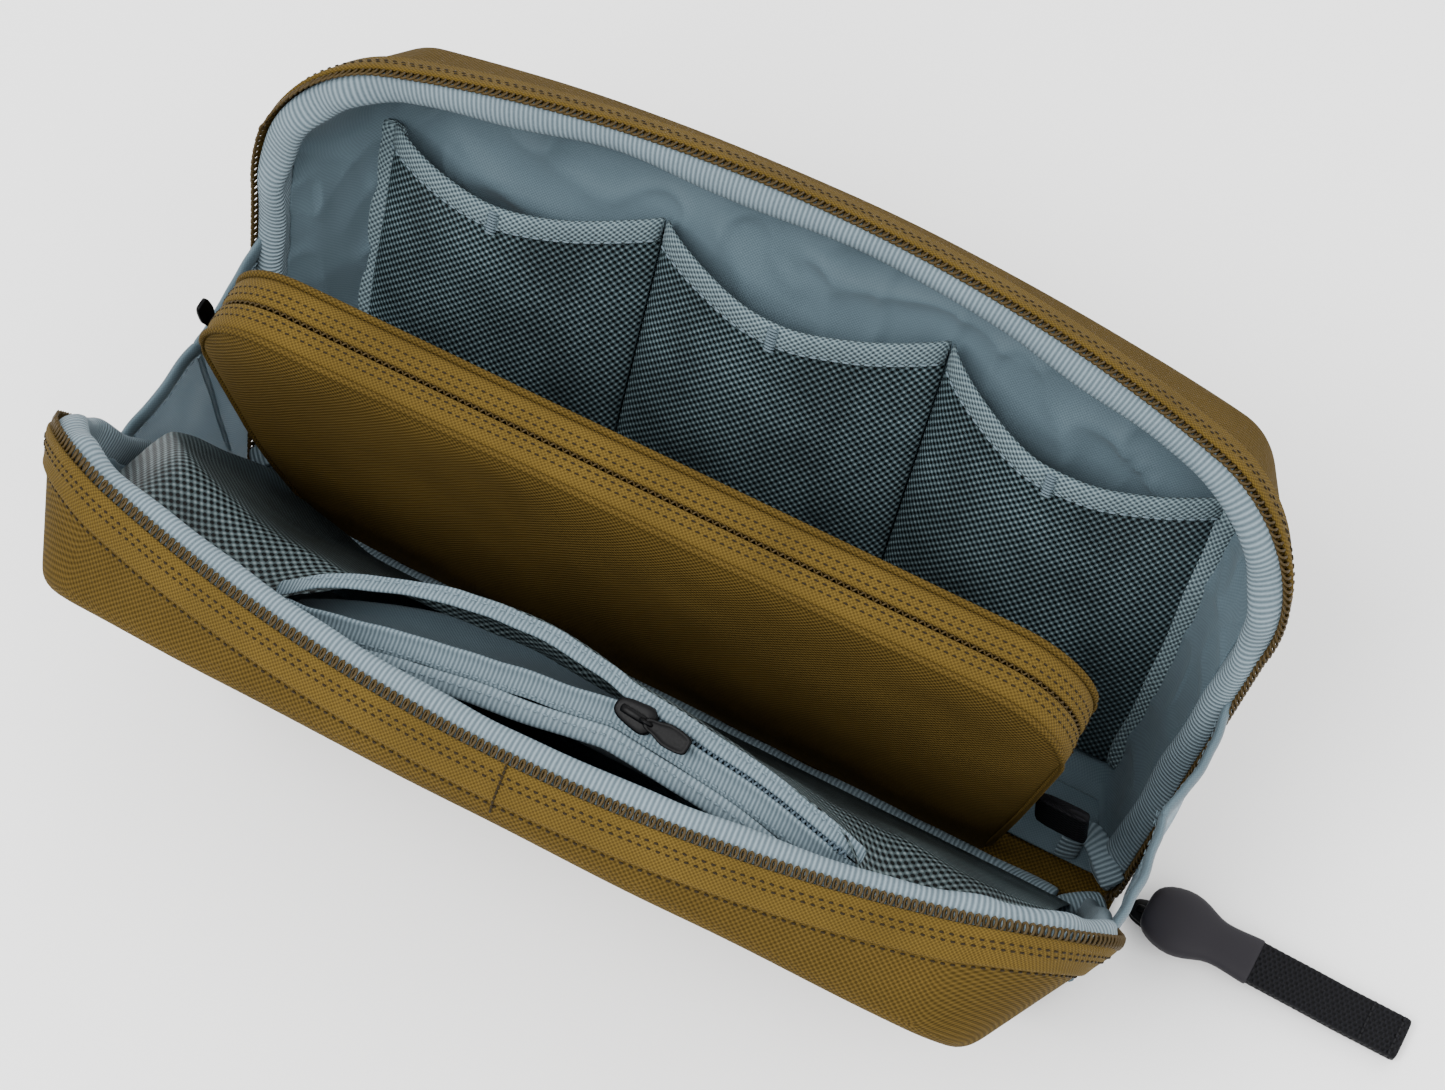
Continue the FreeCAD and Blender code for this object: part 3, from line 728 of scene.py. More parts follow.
@dataclass
class Half:
    """One half of the pouch: its outline, its lean and the bands that follow its bowed rim."""

    side: Side
    bow: float
    strip: float = 8.0

    def __post_init__(self) -> None:
        """Reads the fold line and the lean from the frame's joint."""
        joint = next(j for j in frame["joints"] if j["name"] == f"{self.side.word}_half_fold")
        self.hinge = Vector(joint["pos_m"])
        angle = max(abs(v) for v in joint["range_deg"])
        self.turn = Matrix.Rotation(math.radians(-self.side.value * angle), 3, "X")
        self.slope = math.tan(math.radians(angle))
        self.fold = abs(self.hinge.y) / MM
        self.body = f"{self.side.word}_half"

    def place(self, x: float, depth: float, height: float) -> Vector:
        """A point of the half drawn shut, where it is in the open pouch, in metres."""
        shut = Vector((x, self.side.value * depth, height)) * MM
        return self.hinge + self.turn @ (shut - self.hinge)

    def facing(self, x: float, depth: float, height: float) -> Vector:
        """A direction of the half drawn shut, as it is in the open pouch."""
        return (self.turn @ Vector((x, self.side.value * depth, height))).normalized()

    def bowed(self, x: float) -> float:
        """How far the open rim stands out from the rim plane at x."""
        return self.bow * max(0.0, 1 - (x / FOOT_HALF) ** 2)

    def outline(self, depth: float, inset: float = 0.0) -> list[tuple[float, float]]:
        """The closed outline at a depth, drawn in by inset: the foot first, then anticlockwise.

        Args:
            depth: the depth from the rim plane, in millimetres.
            inset: how far inside the outer surface, in millimetres.

        Returns:
            The closed outline, as (x, height).
        """
        o = RIM.toward(FACE, (depth - START) / (DEPTH - START))
        low = self.slope * (depth - self.fold) + inset
        foot, wide = o.foot - inset, o.wide - inset
        shoulder, crown_x = o.shoulder - inset * 0.4, o.crown_x - inset * 0.4
        crown_z = o.crown_z - inset
        rise = o.top - o.crown_z
        crown = (o.crown_x ** 2 + rise ** 2) / (2 * rise)
        reach = FOOT_CORNER
        up = math.hypot(wide - foot, shoulder - low)
        sx, sz = (wide - foot) / up * reach, (shoulder - low) / up * reach
        points = line((-foot + reach, low), (foot - reach, low), COUNTS[0])
        points += self._corner((foot - reach, low), (foot, low), (foot + sx, low + sz), COUNTS[1])
        points += line((foot + sx, low + sz), (wide, shoulder), COUNTS[2])
        points += arc((wide, shoulder), (crown_x, crown_z), o.corner, COUNTS[3])
        points += arc((crown_x, crown_z), (-crown_x, crown_z), crown, COUNTS[4])
        points += arc((-crown_x, crown_z), (-wide, shoulder), o.corner, COUNTS[5])
        points += line((-wide, shoulder), (-foot - sx, low + sz), COUNTS[6])
        points += self._corner((-foot - sx, low + sz), (-foot, low), (-foot + reach, low), COUNTS[7])
        return points

    @staticmethod
    def _corner(start: tuple[float, float], knee: tuple[float, float],
                end: tuple[float, float], count: int) -> list[tuple[float, float]]:
        """A rounded corner from start to end, pulled to knee.

        Args:
            start: where it begins.
            knee: the point that it is pulled to.
            end: where it stops.
            count: the number of points.

        Returns:
            The points, without the end.
        """
        found = []
        for i in range(count):
            t = i / count
            a, b, c = (1 - t) ** 2, 2 * t * (1 - t), t * t
            found.append((a * start[0] + b * knee[0] + c * end[0], a * start[1] + b * knee[1] + c * end[1]))
        return found

    def crown_at(self, x: float, depth: float) -> float:
        """The height of the outer surface over the crown."""
        points = self.outline(depth)
        return max(height for at, height in points if abs(at - x) < 3.0)

    def arch(self) -> range:
        """The numbers of the outline's points from the right foot over the crown to the left foot."""
        return range(COUNTS[0] + COUNTS[1] // 2, sum(COUNTS) - COUNTS[7] // 2 + 1)

    def rim(self, offset: float, inset: float, bow_offset: float = 0.0) -> list[Point]:
        """The bowed rim, as shut points.

        Args:
            offset: how far outwards from the rim's edge.
            inset: how far in from the outer surface.
            bow_offset: more offset, in proportion to how far the rim is bowed.

        Returns:
            Points from the right foot over the crown to the left foot.
        """
        edge = self.outline(0.0)
        found = []
        for i in self.arch():
            bow = self.bowed(edge[i][0])
            depth = bow + offset + bow_offset * bow / self.bow
            x, height = self.outline(depth, inset)[i]
            found.append((x, depth, height))
        return found

    def band(self, name: str, profile: Sequence[Point],
             shape: Callable[[int, int, Point], Point] | None = None) -> Piece:
        """A solid band along the rim.

        Args:
            name: the piece's name.
            profile: (offset, inset, bow_offset) of each line along it.
            shape: moves each shut point, given its line, its number and itself.

        Returns:
            The object.
        """
        rows = []
        for k, (offset, inset, more) in enumerate(profile):
            points = self.rim(offset, inset, more)
            if shape:
                points = [shape(k, i, p) for i, p in enumerate(points)]
            rows.append([self.place(*p) for p in points])
        return tidy(loft(name, rows, tube=True))

    def tub(self, name: str, inset: float, start: float, fold_gap: float, face: float, edge: float,
            puff: float, ruffle: Callable[[Point], Point] | None = None) -> Piece:
        """A tub-shaped layer: walls from the rim to the face, a rounded edge, the face and the base.

        Args:
            name: the piece's name.
            inset: how far it lies in from the outer surface.
            start: how far from the rim's edge its walls start.
            fold_gap: how far from the fold line its base starts.
            face: depth of its face.
            edge: radius of the edge between walls and face.
            puff: how far the face's middle stands out.
            ruffle: moves each shut point.

        Returns:
            The object.
        """
        count = sum(COUNTS)
        rim = self.outline(0.0)
        starts = []
        for i in range(count):
            x = rim[i][0]
            wall = self.bowed(x) + start
            foot_x = min(1.0, max(0.0, (abs(x) - 104.0) / 8.0))
            is_foot = i < COUNTS[0] or i >= count - COUNTS[7] // 2 or i <= COUNTS[0] + COUNTS[1] // 2
            near = self.fold + fold_gap
            starts.append(mix(near, max(wall, near), foot_x) if is_foot else wall)
        walls = 9
        rows: list[list[Point]] = []
        for k in range(walls):
            row = []
            for i in range(count):
                depth = mix(starts[i], max(starts[i] + 0.5, face - edge), k / (walls - 1))
                x, height = self.outline(depth, inset)[i]
                row.append((x, depth, height))
            rows.append(row)
        for turn in (30, 60, 90):
            bend = math.radians(turn)
            depth = face - edge * (1 - math.sin(bend))
            ring = self.outline(depth, inset + edge * (1 - math.cos(bend)))
            rows.append([(x, depth, height) for x, height in ring])
        border = rows[-1]
        for q in (0.06, 0.14, 0.26, 0.42, 0.6, 0.8, 1.0):
            row = []
            for x, depth, height in border:
                goal_x, goal_z = middle_x(x * 0.8), 58.0
                swell = puff * math.sin(min(1.0, q * 1.4) * math.pi / 2)
                row.append((mix(x, goal_x, q), depth + swell, mix(height, goal_z, q)))
            rows.append(row)
        if ruffle:
            rows = [[ruffle(p) for p in row] for row in rows]
        return tidy(loft(name, [[self.place(*p) for p in row] for row in rows], ring=True))


# the binding's section: offset from the rim, inset from the outside, and reach over the bow
FRONT_ROLL = ((6.0, 1.4, 0), (2.0, 1.25, 0), (0.6, 1.2, 0), (-0.5, 1.9, -1.0), (-1.6, 3.2, -2.2),
              (-2.4, 4.8, -3.0), (-2.5, 6.2, -3.2), (-1.4, 6.8, -2.8), (1.2, 5.8, -1.6),
              (6.0, 4.2, 0))
REAR_ROLL = ((6.0, 1.4, 0), (2.0, 1.25, 0), (0.5, 1.2, 0), (-0.4, 2.0, 0), (-0.9, 4.0, 0), (-0.8, 5.8, 0),
             (0.0, 7.1, 0), (1.4, 7.3, 0), (2.4, 6.0, 0), (6.0, 4.2, 0))


@dataclass
class Shell:
    """The sewn layers of a half: canvas body, zipper strip, coil, binding and lining."""

    half: Half
    coil_pitch: float = 1.5
    coil_wire: float = 0.33
    stitch_pitch: float = 1.9

    def build(self) -> None:
        """Builds and dresses the layers."""
        half, word = self.half, self.half.side.word
        finish(half.body, self._canvas(), f"{word}_shell")
        finish(half.body, self._strip(), f"{word}_zipper_strip")
        for piece in self._stitching():
            finish(half.body, piece)
        finish(half.body, self._coil(), f"{word}_zipper_coil")
        finish(half.body, self._binding(), f"{word}_rim_binding")
        finish(half.body, self._lining(), f"{word}_lining")

    def _canvas(self) -> Piece:
        """The padded canvas body.

        Returns:
            The dressed piece.
        """
        half = self.half

        def ease(p: Point) -> Point:
            """Presses the padded face in and out a little.

            Args:
                p: a point of the half, drawn shut.

            Returns:
                The moved point.
            """
            x, depth, height = p
            soft = 0.5 * wobble(x, depth, height, 34.0, 3.1 * half.side.value)
            return (x, depth + soft * smooth(4.0, 20.0, height), height)

        piece = half.tub(f"{half.side.word}_canvas_body", 0.0, half.strip - 0.6, 0.4, DEPTH, 3.2, 1.6, ease)
        lay_flat(piece, half.facing(0, 1, 0), 0.75)
        dress(thicken(piece, 1.2, -1.0, 1), CANVAS)
        return piece

    def _strip(self) -> Piece:
        """The tape between the coil and the canvas, folded under at both edges.

        Returns:
            The dressed piece.
        """
        profile = [(0.7, 0.9, 0), (0.9, 0.1, 0), (1.7, -0.35, 0), (4.2, -0.5, 0), (6.8, -0.5, 0),
                   (7.9, -0.75, 0), (8.6, -0.7, 0), (8.9, -0.1, 0), (8.4, 0.5, 0), (4.5, 0.6, 0)]
        piece = self.half.band(f"{self.half.side.word}_strip", profile)
        dress(soften(piece), TAPE)
        return piece

    def _stitching(self) -> list[Piece]:
        """Two close rows of stitches in the strip, and one along its seam with the canvas.

        Returns:
            The dressed pieces.
        """
        half, found = self.half, []

        def out(place: Vector) -> Vector:
            """The way out of the strip at a place on it.

            Args:
                place: a place on the strip, in metres.

            Returns:
                A direction of length 1.
            """
            shut = half.hinge + half.turn.inverted() @ (place - half.hinge)
            x, height = shut.x / MM, shut.z / MM
            flat = Vector((smooth(80.0, 118.0, abs(x)) * math.copysign(1.0, x), 0,
                           smooth(70.0, 120.0, height)))
            flat = flat if flat.length > 0.1 else Vector((math.copysign(1.0, x), 0, 0))
            return (half.turn @ flat).normalized()

        if half.side is Side.FRONT:
            path = [half.place(TUCK_X, depth, half.crown_at(TUCK_X, depth) + proud)
                    for depth, proud in ((19.4, 0.6), (22.0, 0.65), (24.5, 0.75), (26.6, 0.8), (28.4, 0.1))]
            found.append(dress(dashes("front_tuck_seam", path, out, 1.1, 1.0, 0.5), THREAD))
        for number, (offset, proud) in enumerate(((3.3, -0.5), (4.7, -0.55), (9.3, -0.1))):
            path = [half.place(*p) for p in half.rim(offset, proud)]
            piece = dashes(f"{half.side.word}_stitches_{number}", path, out, self.stitch_pitch, 0.9, 0.45)
            found.append(dress(piece, THREAD))
        return found

    def _coil(self) -> Piece:
        """The nylon coil: a flattened spiral of one filament, sewn along the strip's edge.

        Returns:
            The dressed piece.
        """
        half = self.half
        path = [half.place(*p) for p in half.rim(0.1, 0.9)]
        outer = [half.place(*p) for p in half.rim(0.1, -0.1)]
        steps = walk(path, self.coil_pitch / 10 * MM)
        shell = walk(outer, self.coil_pitch / 10 * MM)
        wire = []
        for i, ((place, tangent), (above, _)) in enumerate(zip(steps, shell)):
            turn = 2 * math.pi * i / 10
            up = (above - place).normalized()
            across = tangent.cross(up).normalized()
            wire.append(place + across * (1.35 * MM * math.cos(turn)) + up * (0.85 * MM * math.sin(turn)))
        piece = tube(f"{half.side.word}_coil", wire, self.coil_wire, 5)
        dress(piece, COIL)
        return piece

    def _binding(self) -> Piece:
        """The pale ribbed binding that rolls inwards from the coil, puckered round the corners.

        Returns:
            The dressed piece.
        """
        half = self.half
        front = self.half.side is Side.FRONT
        profile = FRONT_ROLL if front else REAR_ROLL
        reach = (0, 0, 0.1, 0.4, 0.8, 1.0, 1.0, 0.8, 0.4, 0)

        def pucker(k: int, i: int, p: Point) -> Point:
            """Gathers the ribbon, most of all at the corners.

            Args:
                k: the number of the point in the section.
                i: the number of the section along the rim.
                p: the point, drawn shut.

            Returns:
                The moved point.
            """
            x, depth, height = p
            corner = smooth(70.0, 104.0, abs(x)) * smooth(30.0, 80.0, height)
            ripple = (0.25 + 0.8 * corner) * math.sin(i * 1.15 + 2.0 * wobble(x, height, 0, 21.0, 5.0))
            sway = 1.3 * wobble(x, height, half.side.value * 9.0, 26.0, 2.0)
            crumple = 1.5 * wobble(x * 0.8, height, half.side.value * 5.0, 19.0, 6.0)
            scallop = reach[k] * (ripple * 0.5 + crumple)
            side = smooth(70.0, 112.0, abs(x)) * math.copysign(1.0, x)
            return (x - side * scallop, depth + (ripple * 0.6 + sway) * reach[k],
                    height - (1 - abs(side)) * scallop)

        piece = half.band(f"{half.side.word}_binding", profile, shape=pucker)
        dress(soften(piece), GROSGRAIN)
        return piece

    def _lining(self) -> Piece:
        """The thin lining, gathered where it meets the binding and creased on its face.

        Returns:
            The dressed piece.
        """
        half = self.half

        piece = half.tub(f"{half.side.word}_lining_cloth", 5.0, 4.5, 3.0, 26.0, 5.0, -0.4)
        settle(soften(piece, 2))
        inward, upward = half.facing(0, -1, 0), half.facing(0, 0, 1)
        back = half.turn.inverted()
        for vertex in piece.data.vertices:
            shut = half.hinge + back @ (vertex.co - half.hinge)
            x, depth, height = shut.x / MM, abs(shut.y) / MM, shut.z / MM
            near = 1 - smooth(5.0, 16.0, depth - half.bowed(x))
            gather = near * 0.8 * math.sin(x * 0.5 + 2.5 * wobble(x, height, 0, 30.0, 7.0))
            warp = 9.0 * wobble(x, height, depth, 31.0, 5.0)
            ridge = (1 - min(1.0, 3.0 * abs(wobble(x + warp, height * 1.4, depth, 30.0, 11.0)))) ** 1.5
            fine = (1 - min(1.0, 3.0 * abs(wobble(x, height + warp, depth, 14.0, 4.0)))) ** 1.5
            folds = (1.9 * ridge + 0.9 * fine) * smooth(5.0, 30.0, height)
            vertex.co += inward * (folds - 0.3) * MM
            vertex.co += upward * (gather * smooth(60.0, 110.0, height) - 0.5 * folds) * MM
        lay_flat(piece, half.facing(0, 1, 0), 0.6)
        dress(thicken(piece, 0.6, 1.0), LINING)
        return piece


def yield_to_divider(piece: Piece) -> None:
    """Gives a piece of the front pockets its own copy of its mesh.

    Args:
        piece: the piece, its mesh final.
    """
    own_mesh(piece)


# ---- pockets ----------------------------------------------------------------------------------

@dataclass
class RearPockets:
    """Three stretchy mesh pockets on the rear lining, each with a doubled hem at its mouth."""

    half: Half
    seams: tuple[float, ...] = (-99.0, -33.5, 33.5, 99.0)
    tops: tuple[float, ...] = (93.0, 99.0, 101.0, 95.0)
    sags: tuple[float, ...] = (6.5, 7.0, 8.5)
    lows: tuple[float, ...] = (0.47, 0.48, 0.47)  # where each mouth hangs lowest
    bulges: tuple[float, ...] = (9.5, 10.0, 11.0)
    foot: float = 15.0
    back: float = 23.2
    hem: float = 6.0

    def spot(self, number: int, u: float, w: float, proud: float = 0.0) -> Point:
        """A place on a pocket.

        Args:
            number: the pocket, from the left.
            u: the share across it.
            w: the share up it.
            proud: how far off the mesh, towards the rim.

        Returns:
            The shut point.
        """
        warp = u ** (math.log(0.5) / math.log(self.lows[number]))
        hang = max(0.0, math.sin(math.pi * warp))
        x = mix(self.seams[number], self.seams[number + 1], u)
        top = mix(self.tops[number], self.tops[number + 1], u) - self.sags[number] * hang ** 1.25
        height = mix(self.foot, top, w)
        swell = self.bulges[number] * hang ** 0.62 * smooth(-0.05, 0.45, w) * mix(0.7, 1.0, w)
        drag = 0.9 * wobble(x, height * 0.6, 0, 13.0, 3.0 + number) * hang
        return (x, self.back - swell - drag - proud, height)

    def build(self) -> None:
        """Builds and dresses the pockets."""
        for number, word in enumerate(("left", "middle", "right")):
            mesh = self._pocket(number, word)
            hem = self._hem(number, word)
            finish(self.half.body, mesh, f"mesh_pocket_{word}")
            finish(self.half.body, hem, f"mesh_hem_{word}")
            for piece in self._stitches(number, word):
                finish(self.half.body, piece)

    def _pocket(self, number: int, word: str) -> Piece:
        """The mesh itself.

        Args:
            number: the number of the pocket, from the left.
            word: its place, for its name.

        Returns:
            The dressed piece.
        """
        rows = [[self.half.place(*self.spot(number, i / 30, k / 18)) for i in range(31)] for k in range(19)]
        piece = loft(f"mesh_pocket_{word}_net", rows)
        dress(thicken(piece, 0.5, 0.0, 1), MESH)
        return piece

    def _hem(self, number: int, word: str) -> Piece:
        """The doubled edge that rolls over the mouth.

        Args:
            number: the number of the pocket, from the left.
            word: its place, for its name.

        Returns:
            The dressed piece.
        """
        tall = max(self.tops) - self.foot
        turns = ((-self.hem, 0.5), (-self.hem + 0.4, 1.2), (-self.hem / 2, 1.35), (-0.6, 1.25), (0.5, 0.7),
                 (0.5, -0.3), (-0.6, -0.8), (-self.hem, -0.7))
        rows = [[self.half.place(*self.spot(number, i / 40, 1 + drop / tall, proud)) for i in range(41)]
                for drop, proud in turns]
        piece = tidy(loft(f"mesh_hem_{word}_band", rows, tube=True))
        dress(soften(piece), HEM)
        return piece

    def _stitches(self, number: int, word: str) -> list[Piece]:
        """The hem's stitching, the seam beside the pocket and the tack at the mouth's low point.

        Args:
            number: the number of the pocket, from the left.
            word: its place, for its name.

        Returns:
            The dressed pieces.
        """
        half, tall = self.half, max(self.tops) - self.foot
        out = half.facing(0, -1, 0.35)
        share = 1 - (self.hem - 1.0) / tall
        hem = [half.place(*self.spot(number, i / 40, share, 1.45)) for i in range(1, 40)]
        found = [dashes(f"mesh_hem_{word}_stitches", hem, lambda p: out, 2.3, 1.5, 0.5)]
        low = self.lows[number]
        tack = [half.place(*self.spot(number, low, 1 - drop / tall, 1.5)) for drop in (0.5, 3.0, 6.5)]
        found.append(dashes(f"mesh_tack_{word}", tack, lambda p: out, 0.75, 0.5, 2.6))
        shares = [k / 20 for k in range(21)]
        if number == 0:
            found.append(self._edge("left", [half.place(*self.spot(0, 0.0, w, 1.0)) for w in shares]))
        if number == 2:
            found.append(self._edge("right", [half.place(*self.spot(2, 1.0, w, 1.0)) for w in shares]))
        for piece in found:
            if not piece.data.materials:
                dress(piece, PALE_THREAD)
        return found

    def _edge(self, word: str, path: list[Vector]) -> Piece:
        """The folded edge where the row of pockets ends.

        Args:
            word: its place, for its name.
            path: the points along it, in metres.

        Returns:
            The dressed piece.
        """
        up = self.half.facing(0, -1, 0)
        piece = tube(f"mesh_edge_{word}", path, lambda t: 3.4 + 0.5 * math.sin(t * 21.0), 10, 0.34, up)
        dress(soften(piece), HEM)
        return piece


@dataclass
class FrontPockets:
    """The front half's slip pocket, and before it the mesh pocket with a curved zipper."""

    half: Half
    middle: float = 5.0  # x where the zipper lies nearest to the divider
    nearest: float = -1.0
    reach_left: float = 150.0  # radii of the zipper's curve
    reach_right: float = 250.0
    lid: float = 106.4
    tape_from: float = -57.0
    tape_to: float = 71.0
    front_tape: float = 3.6
    back_tape: float = 5.8
    edging: float = 4.2
    slider_x: float = 20.0

    def line(self, x: float) -> float:
        """The depth of the zipper's middle line."""
        reach = self.reach_left if x < self.middle else self.reach_right
        return self.nearest + (x - self.middle) ** 2 / (2 * reach)

    def lip(self, x: float) -> float:
        """How far each lip stands off the middle line: the zipper is open left of its slider.

        Args:
            x: the place along the pouch, in millimetres.

        Returns:
            A distance in millimetres.
        """
        share = (x - self.tape_from) / (self.slider_x - 4.0 - self.tape_from)
        wide = 3.4 * math.sin(math.pi * share) ** 0.7 if 0 < share < 1 else 0.0
        return 0.3 + wide

    def ceiling(self, x: float) -> float:
        """How high cloth inside the lining can stand at x."""
        return min(self.lid, 118.0 - 0.6 * max(0.0, abs(x) - 84.0) ** 1.28)

    def mesh_edge(self, x: float) -> float:
        """The depth of the mesh's upper edge, which passes under the binding at both ends.

        Args:
            x: the place along the pouch, in millimetres.

        Returns:
            The depth in millimetres.
        """
        inside = self.line(x) - self.lip(x) - self.front_tape + 0.4
        away = smooth(0, 14, max(self.tape_from + 4 - x, x - self.tape_to + 6))
        return mix(inside, self.half.bowed(x) + 3.0, away)

    def foot(self, x: float) -> tuple[float, float]:
        """The depth and height of the mesh's foot."""
        back = 8.0 * smooth(70.0, 104.0, -x)
        return 2.5 - back, 0.6 - back * 0.35

    def build(self) -> None:
        """Builds and dresses the pockets."""
        body = self.half.body
        mesh = finish(body, self._mesh(), "zip_pocket_mesh")
        front = finish(body, self._tape("front"), "zip_pocket_front_tape")
        back = finish(body, self._tape("back"), "zip_pocket_back_tape")
        panel = finish(body, self._panel(), "slip_pocket_panel")
        edging = finish(body, self._edging(), "slip_pocket_binding")
        coil = finish(body, self._coil(), "zip_pocket_coil")
        inner = finish(body, self._inner())
        binding = finish(body, self._foot_binding())
        stitches = [finish(body, piece) for piece in self._stitches()]
        for piece in (mesh, front, back, panel, edging, coil, inner, binding, *stitches):
            yield_to_divider(piece)

    def _mesh(self) -> Piece:
        """The mesh between the front tape and the foot of the pouch.

        Returns:
            The dressed piece.
        """
        rows = []
        for k in range(25):
            w = k / 24
            row = []
            for i in range(61):
                x = mix(-107.0, 107.0, i / 60)
                low_depth, low = self.foot(x * 0.97)
                top_depth, top = self.mesh_edge(x), self.ceiling(x) - 0.4
                ease = smooth(0.3, 1.0, w) ** 1.2
                climb = mix(w / 0.4 * 0.8, 0.8 + (w - 0.4) / 0.6 * 0.2, 1.0 if w > 0.4 else 0.0)
                belly = math.sin(math.pi * w) * 1.5 - 4.0 * w * math.exp(-((x + 52.0) / 12.0) ** 2)
                folds = 1.3 * wobble(x, w * 60, 0, 22.0, 8.0) + 0.6 * wobble(x, w * 90, 0, 9.0, 2.0)
                depth = mix(low_depth, top_depth, ease) - belly + folds * math.sin(math.pi * w)
                row.append(self.half.place(x * mix(0.97, 1.0, w), depth, mix(low, top, climb) + folds * 0.8))
            rows.append(row)
        piece = loft("zip_pocket_net", rows)
        dress(thicken(piece, 0.5, 0.0, 1), OPEN_MESH)
        return piece

    def _tape(self, word: str) -> Piece:
        """One of the zipper's tapes, with a raised lip towards the slot.

        Args:
            word: front or back.

        Returns:
            The dressed piece.
        """
        way = -1 if word == "front" else 1
        wide = self.front_tape if word == "front" else self.back_tape
        turns = ((0.0, 1.3), (0.7, 1.6), (1.4, 1.1), (2.0, 0.6), (wide * 0.7, 0.45), (wide, 0.0),
                 (wide - 0.3, -0.5), (1.2, -0.5), (0.1, 0.0))
        rows = []
        for off, rise in turns:
            row = []
            for i in range(91):
                x = mix(self.tape_from, self.tape_to, i / 90)
                sway = 0.35 * wobble(x, off, 0, 8.0, 6.0)
                end = smooth(0, 9, min(x - self.tape_from, self.tape_to - x))
                depth = self.line(x) + way * (self.lip(x) * end + off) + sway
                row.append(self.half.place(x, depth, self.lid + rise * end - 2.0 * (1 - end)))
            rows.append(row)
        piece = tidy(loft(f"zip_pocket_{word}_band", rows, tube=True))
        dress(soften(piece), ZIP_TAPE)
        return piece

    def _edge_depth(self, x: float) -> float:
        """The depth of the back tape's outer edge."""
        return self.line(x) + self.lip(x) + self.back_tape

    def _edging(self) -> Piece:
        """The ribbed edging behind the back tape, whose free edge stands over the slip pocket.

        Returns:
            The dressed piece.
        """
        wide = self.edging
        turns = ((-0.6, 0.5), (0.4, 0.95), (wide * 0.5, 0.85), (wide - 0.5, 0.6), (wide, 0.0), (wide, -1.6),
                 (wide - 0.7, -1.7), (wide - 0.9, -0.4), (0.0, 0.1))
        rows = []
        for off, rise in turns:
            row = []
            for i in range(81):
                x = mix(-62.0, 76.0, i / 80)
                sway = 0.5 * wobble(x, 0, off, 14.0, 9.0)
                row.append(self.half.place(x, self._edge_depth(x) + off + sway, self.lid + rise + sway * 0.4))
            rows.append(row)
        piece = tidy(loft("slip_pocket_edging", rows, tube=True))
        dress(soften(piece), GROSGRAIN)
        return piece

    def _panel(self) -> Piece:
        """The slip pocket's lining panel, which hangs from the edging.

        Returns:
            The dressed piece.
        """
        rows = []
        for k in range(17):
            w = k / 16
            row = []
            for i in range(51):
                x = mix(-103.0, 103.0, i / 50)
                near = min(self._edge_depth(x) + self.edging - 0.6, self.half.bowed(x) + 6.0)
                depth = mix(13.4, near, smooth(0.55, 1.0, w)) + 0.8 * wobble(x, w * 80, 0, 20.0, 1.0)
                row.append(self.half.place(x, depth, mix(12.0, self.ceiling(x) - 1.0, w)))
            rows.append(row)
        piece = loft("slip_pocket_cloth", rows)
        dress(thicken(piece, 0.5, 0.0, 1), LINING)
        return piece

    def _inner(self) -> Piece:
        """The mesh pocket's own back, which droops from the back tape and shows in the open zipper.

        Returns:
            The dressed piece.
        """
        rows = []
        for k in range(13):
            w = k / 12
            row = []
            for i in range(41):
                x = mix(self.tape_from + 1.0, self.slider_x - 4.0, i / 40)
                start, end = self.line(x) + self.lip(x) + 2.6, self.line(x) - self.lip(x) * 0.5
                fall = 24.0 * w ** 0.8 + 1.2 * wobble(x, w * 40, 0, 14.0, 3.0) * math.sin(math.pi * w)
                fall *= mix(0.6, 1.0, smooth(-60.0, 0.0, x))
                row.append(self.half.place(x, mix(start, end, w ** 1.6), self.lid - 1.3 - fall))
            rows.append(row)
        piece = loft("zip_pocket_back_cloth", rows)
        dress(thicken(piece, 0.4, 0.0, 1), LINING)
        return piece

    def _coil(self) -> Piece:
        """The closed teeth, a narrow line between the tapes beyond the slider.

        Returns:
            The dressed piece.
        """
        wire = []
        start, end = self.slider_x + 3.0, self.tape_to - 3.0
        count = round((end - start) / 1.3) * 8
        for i in range(count + 1):
            x = mix(start, end, i / count)
            turn = 2 * math.pi * i / 8
            depth, height = self.line(x) + 0.5 * math.cos(turn), self.lid + 0.5 + 0.4 * math.sin(turn)
            wire.append(self.half.place(x, depth, height))
        piece = tube("zip_pocket_teeth", wire, 0.3, 5)
        dress(piece, PALE_COIL)
        return piece

    def _foot_binding(self) -> Piece:
        """The ribbed binding along the seam at the mesh's foot, which curls up at its ends.

        Returns:
            The dressed piece.
        """
        path = []
        for i in range(97):
            x = mix(-100.0, 100.0, i / 96)
            depth, height = self.foot(x)
            curl = 7.0 * smooth(84.0, 101.0, abs(x))
            sway = 0.8 * wobble(x, 0, 0, 17.0, 12.0)
            path.append(self.half.place(x, depth - 0.3 + sway, height + 1.2 + curl))
        up = self.half.facing(0, -0.75, 0.55)
        piece = tube("foot_seam_binding", path, lambda t: 2.5 + 0.3 * math.sin(t * 60.0), 10, 0.42, up)
        dress(soften(piece), GROSGRAIN)
        return piece

    def _stitches(self) -> list[Piece]:
        """Stitching along the tapes and the edging.

        Returns:
            The dressed pieces.
        """
        up, found = self.half.facing(0, -0.1, 1), []
        for name, way, off, rise in (("front", -1, 2.4, 0.75), ("back", 1, 4.6, 0.6),
                                     ("edging", 1, 7.2, 1.15)):
            path = []
            for i in range(81):
                x = mix(self.tape_from + 6, self.tape_to - 6, i / 80)
                path.append(self.half.place(x, self.line(x) + way * (self.lip(x) + off), self.lid + rise))
            piece = dashes(f"pocket_{name}_stitches", path, lambda p: up, 2.0, 1.2, 0.42)
            found.append(dress(piece, PALE_THREAD))
        return found


# ---- spine and gussets ------------------------------------------------------------------------

